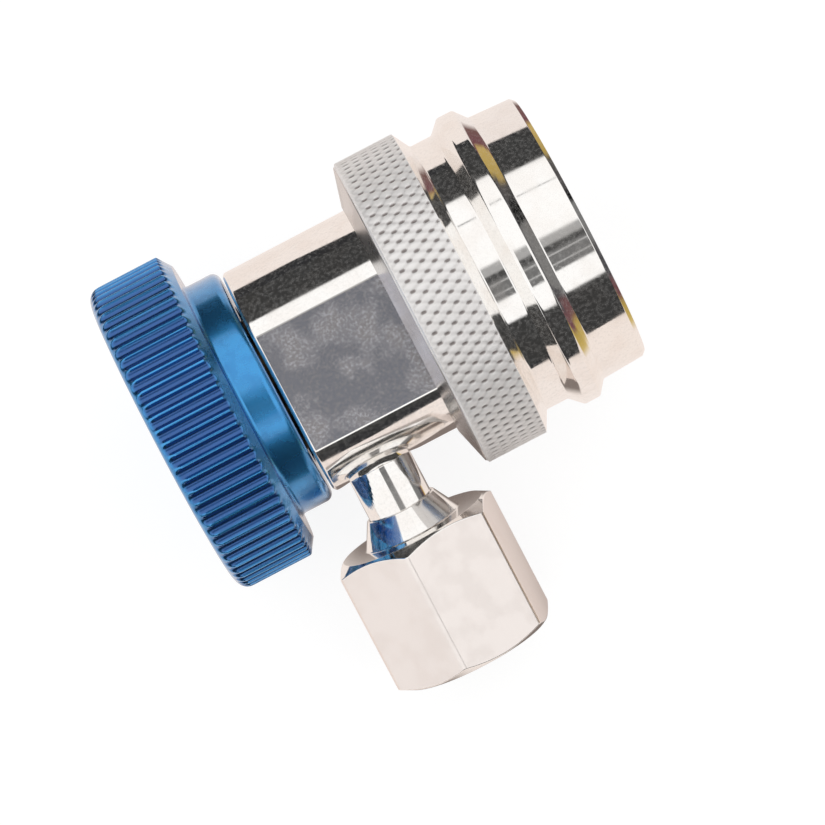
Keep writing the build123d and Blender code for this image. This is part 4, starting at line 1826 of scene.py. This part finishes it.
class Studio:
    """A pale floor, a soft bright surround with dark cards, and the photograph's camera."""

    camera_distance = 0.5
    elevation = radians(84.5)
    picture_turn = radians(27.6)
    frame_width = 0.0868
    sensor = 36.0
    floor_half = 1.5

    # The floor as the camera sees it, and the paper that lights the part from below
    seen_glow = (0.86, 0.86, 0.86)
    seen_paper = (0.24, 0.24, 0.24)
    paper_colour = (0.84, 0.83, 0.82, 1.0)

    # The floor as polished metal mirrors it, in metres and degrees from +X
    sheet_pale = (0.92, 0.83, 0.78)
    sheet_front = (-0.002, 0.003)
    near_colour = (0.5, 0.48, 0.48)
    near_share = 0.8
    near_reach = (0.044, 0.056)
    near_bearing = (-20.0, 22.0, 3.0)
    # Painted shadow on the floor, seen only by polished metal, beside the body on the nut's side
    painted_shadow_colour = (0.13, 0.095, 0.08)
    painted_shadow_share = 0.88
    painted_shadow_x = (-0.037, -0.016, 0.003)
    painted_shadow_y = (-0.046, -0.012, 0.003)
    table_colour = (0.03, 0.03, 0.032)
    table_edge = 0.004
    far_line = (4.2, 0.225)
    far_least = 0.11
    near_line = (-6.0, -0.311)
    near_most = -0.14

    surround_level = 1.06
    surround_colour = (1.0, 0.995, 0.99, 1.0)

    def camera(self) -> None:
        """Set the camera above the part, turned so that the main axis rises to the right."""
        low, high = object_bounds()
        target = (low + high) / 2
        back = Vector((0.0, -cos(self.elevation), sin(self.elevation)))
        level = Vector((1.0, 0.0, 0.0))
        rise = back.cross(level)
        right = level * cos(self.picture_turn) - rise * sin(self.picture_turn)
        up = level * sin(self.picture_turn) + rise * cos(self.picture_turn)
        data = bpy.data.cameras.new("camera")
        data.sensor_width = self.sensor
        data.lens = self.sensor * self.camera_distance / self.frame_width
        data.clip_start = 0.01
        camera = bpy.data.objects.new("camera", data)
        bpy.context.scene.collection.objects.link(camera)
        turn = Matrix((right, up, back)).transposed()
        camera.matrix_world = Matrix.Translation(target + back * self.camera_distance) @ turn.to_4x4()
        bpy.context.scene.camera = camera

    def sheet_colour(self, work: NodeWork) -> bpy.types.NodeSocket:
        """Colour that polished metal sees in the floor: a pale sheet on a dark table, with a painted shadow
        beside the body.

        Args:
            work: The floor material's nodes.

        Returns:
            The colour.
        """
        parts = work.node("ShaderNodeSeparateXYZ")
        work.feed(parts.inputs[0], work.node("ShaderNodeTexCoord").outputs["Object"])
        x, y = parts.outputs["X"], parts.outputs["Y"]
        bearing = work.math("MULTIPLY", work.math("ARCTAN2", y, x), 180 / pi)
        ramp = work.node("ShaderNodeValToRGB")
        ramp.color_ramp.elements.remove(ramp.color_ramp.elements[0])
        for index, (angle, colour) in enumerate(FRONT_COLOURS):
            place = (angle + 90.0) / 180.0
            elements = ramp.color_ramp.elements
            stop = elements[0] if index == 0 else elements.new(place)
            stop.position = place
            stop.color = (*colour, 1.0)
        work.feed(ramp.inputs["Fac"], work.math("DIVIDE", work.math("ADD", bearing, 90.0), 180.0))
        distance = work.math("SQRT", work.math("ADD", work.math("POWER", x, 2.0), work.math("POWER", y, 2.0)))
        near = work.ranged(distance, *self.near_reach, 1.0, 0.0)
        close = work.math("MULTIPLY", near, work.within(bearing, *self.near_bearing))
        share = work.math("MULTIPLY", close, self.near_share)
        front = work.blend(share, ramp.outputs["Color"], self.near_colour)
        colour = work.blend(work.ranged(x, *self.sheet_front), self.sheet_pale, front)
        # Painted shadow: a brown-dark patch that the metal mirrors beside the body
        painted_shadow_patch = work.math("MULTIPLY", work.within(x, *self.painted_shadow_x), work.within(y, *self.painted_shadow_y))
        colour = work.blend(work.math("MULTIPLY", painted_shadow_patch, self.painted_shadow_share), colour, self.painted_shadow_colour)
        far_side = work.math("MAXIMUM", work.math("MULTIPLY_ADD", x, *self.far_line), self.far_least)
        near_side = work.math("MINIMUM", work.math("MULTIPLY_ADD", x, *self.near_line), self.near_most)
        past = (work.math("SUBTRACT", y, far_side), work.math("SUBTRACT", near_side, y))
        beyond = work.math("ADD", *(work.ranged(way, -self.table_edge, self.table_edge) for way in past))
        return work.blend(work.math("MINIMUM", beyond, 1.0), colour, self.table_colour)

    def floor(self) -> None:
        """Lay the floor at the part's lowest point. The camera sees it white, with the part's shadow."""
        low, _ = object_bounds()
        half = self.floor_half
        mesh = bpy.data.meshes.new("floor")
        corners = [(-half, -half, low.z), (half, -half, low.z), (half, half, low.z), (-half, half, low.z)]
        mesh.from_pydata(corners, [], [(0, 1, 2, 3)])
        floor = link("floor", mesh)
        made = bpy.data.materials.new("floor_paper")
        made.use_nodes = True
        work = NodeWork(made.node_tree)
        made.node_tree.nodes.clear()
        path = work.node("ShaderNodeLightPath")
        paper = work.node("ShaderNodeBsdfDiffuse")
        paper.inputs["Color"].default_value = self.paper_colour
        seen = self.two_part(work, self.seen_glow, self.seen_paper)
        mirrored = self.two_part(work, self.sheet_colour(work), None)
        for_metal = work.node("ShaderNodeMixShader")
        work.feed(for_metal.inputs["Fac"], path.outputs["Is Glossy Ray"])
        work.feed(for_metal.inputs[1], paper.outputs[0])
        work.feed(for_metal.inputs[2], mirrored)
        for_camera = work.node("ShaderNodeMixShader")
        work.feed(for_camera.inputs["Fac"], path.outputs["Is Camera Ray"])
        work.feed(for_camera.inputs[1], for_metal.outputs[0])
        work.feed(for_camera.inputs[2], seen)
        work.feed(work.node("ShaderNodeOutputMaterial").inputs["Surface"], for_camera.outputs[0])
        mesh.materials.append(made)
        floor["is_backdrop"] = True

    @staticmethod
    def two_part(work: NodeWork, glow: object, paper: Colour | None) -> bpy.types.NodeSocket:
        """Shader that shows a colour as it is, with or without a share that takes shadows.

        Args:
            work: The material's nodes.
            glow: The colour that needs no light.
            paper: The colour that takes light and shadow, if there is one.

        Returns:
            The shader.
        """
        emission = work.node("ShaderNodeEmission")
        work.feed(emission.inputs["Color"], (*glow, 1.0) if isinstance(glow, tuple) else glow)
        if paper is None:
            return emission.outputs[0]
        diffuse = work.node("ShaderNodeBsdfDiffuse")
        work.feed(diffuse.inputs["Color"], (*paper, 1.0))
        both = work.node("ShaderNodeAddShader")
        work.feed(both.inputs[0], emission.outputs[0])
        work.feed(both.inputs[1], diffuse.outputs[0])
        return both.outputs[0]

    def world(self) -> None:
        """Light the part by a bright surround with dark cards at set directions."""
        world = bpy.data.worlds.new("surround")
        bpy.context.scene.world = world
        world.use_nodes = True
        work = NodeWork(world.node_tree)
        world.node_tree.nodes.clear()
        parts = work.node("ShaderNodeSeparateXYZ")
        work.feed(parts.inputs[0], work.node("ShaderNodeTexCoord").outputs["Generated"])
        lean = work.math("MULTIPLY", work.math("ARCTAN2", parts.outputs["Y"], parts.outputs["Z"]), 180 / pi)
        turn = work.math("MULTIPLY", work.math("ARCSINE", parts.outputs["X"]), 180 / pi)

        def card(flag: Flag) -> bpy.types.NodeSocket:
            """Share of the light that a card takes away or a slit gives back."""
            along = work.within(lean, flag.low, flag.high, flag.soft)
            across = work.within(turn, flag.start, flag.end, flag.soft)
            return work.math("MULTIPLY", work.math("MULTIPLY", along, across), flag.strength)

        light: object = self.surround_level
        for flag in FLAGS:
            light = work.math("MULTIPLY", light, work.math("SUBTRACT", 1.0, card(flag)))
        for slit in SLITS:
            light = work.math("ADD", light, card(slit))
        background = work.node("ShaderNodeBackground")
        work.feed(background.inputs["Strength"], light)
        work.feed(background.inputs["Color"], self.surround_colour)
        plain = work.node("ShaderNodeBackground")
        work.feed(plain.inputs["Color"], (1.0, 1.0, 1.0, 1.0))
        choose = work.node("ShaderNodeMixShader")
        work.feed(choose.inputs["Fac"], work.node("ShaderNodeLightPath").outputs["Is Camera Ray"])
        work.feed(choose.inputs[1], background.outputs[0])
        work.feed(choose.inputs[2], plain.outputs[0])
        work.feed(work.node("ShaderNodeOutputWorld").inputs["Surface"], choose.outputs[0])

    def build(self) -> None:
        """Set up the whole studio."""
        self.camera()
        self.floor()
        self.world()
        bpy.context.scene.view_settings.view_transform = "Standard"


INNER_FINISHES = {
    "snap_ring": "spring_steel",
    "spring_washer": "spring_steel",
    "guide_bush": "plain_brass",
    "depressor": "plain_brass",
    "spindle": "plain_brass",
    "thrust_washer": "white_plastic",
    # Painted shade: the gland parts lie deep in the narrow gap behind the knob
    "gland_washer": "painted_shade_brass",
    "gland_nut": "painted_shade_brass",
    "spindle_seal": "black_rubber",
    "post_washer": "plain_brass",
    "nut_washer": "plain_brass",
}


def main() -> None:
    """Build and dress every assembly, and report each piece."""
    logging.basicConfig(level=logging.INFO, format="%(message)s")
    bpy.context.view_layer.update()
    places = Places.from_frame()
    palette = Palette()
    for node, finish in INNER_FINISHES.items():
        palette.dress(frame["nodes"][node], finish)
        LOG.info("%s: dressed in %s", node, finish)
    sleeve = SleeveAssembly(places, palette)
    sleeve.build()
    sleeve.build_spring()
    socket = SocketAssembly(places, palette)
    socket.build_balls()
    socket.build_seal()
    knob = KnobAssembly(places, palette)
    knob.build()
    knob.build_washer()
    knob.build_screw()
    BodyAssembly(places, palette).build()
    port = PortAssembly(places, palette)
    port.build_nut()
    port.build_post()
    port.build_gasket()
    Studio().build()
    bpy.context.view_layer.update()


if __name__ == "__main__":
    main()
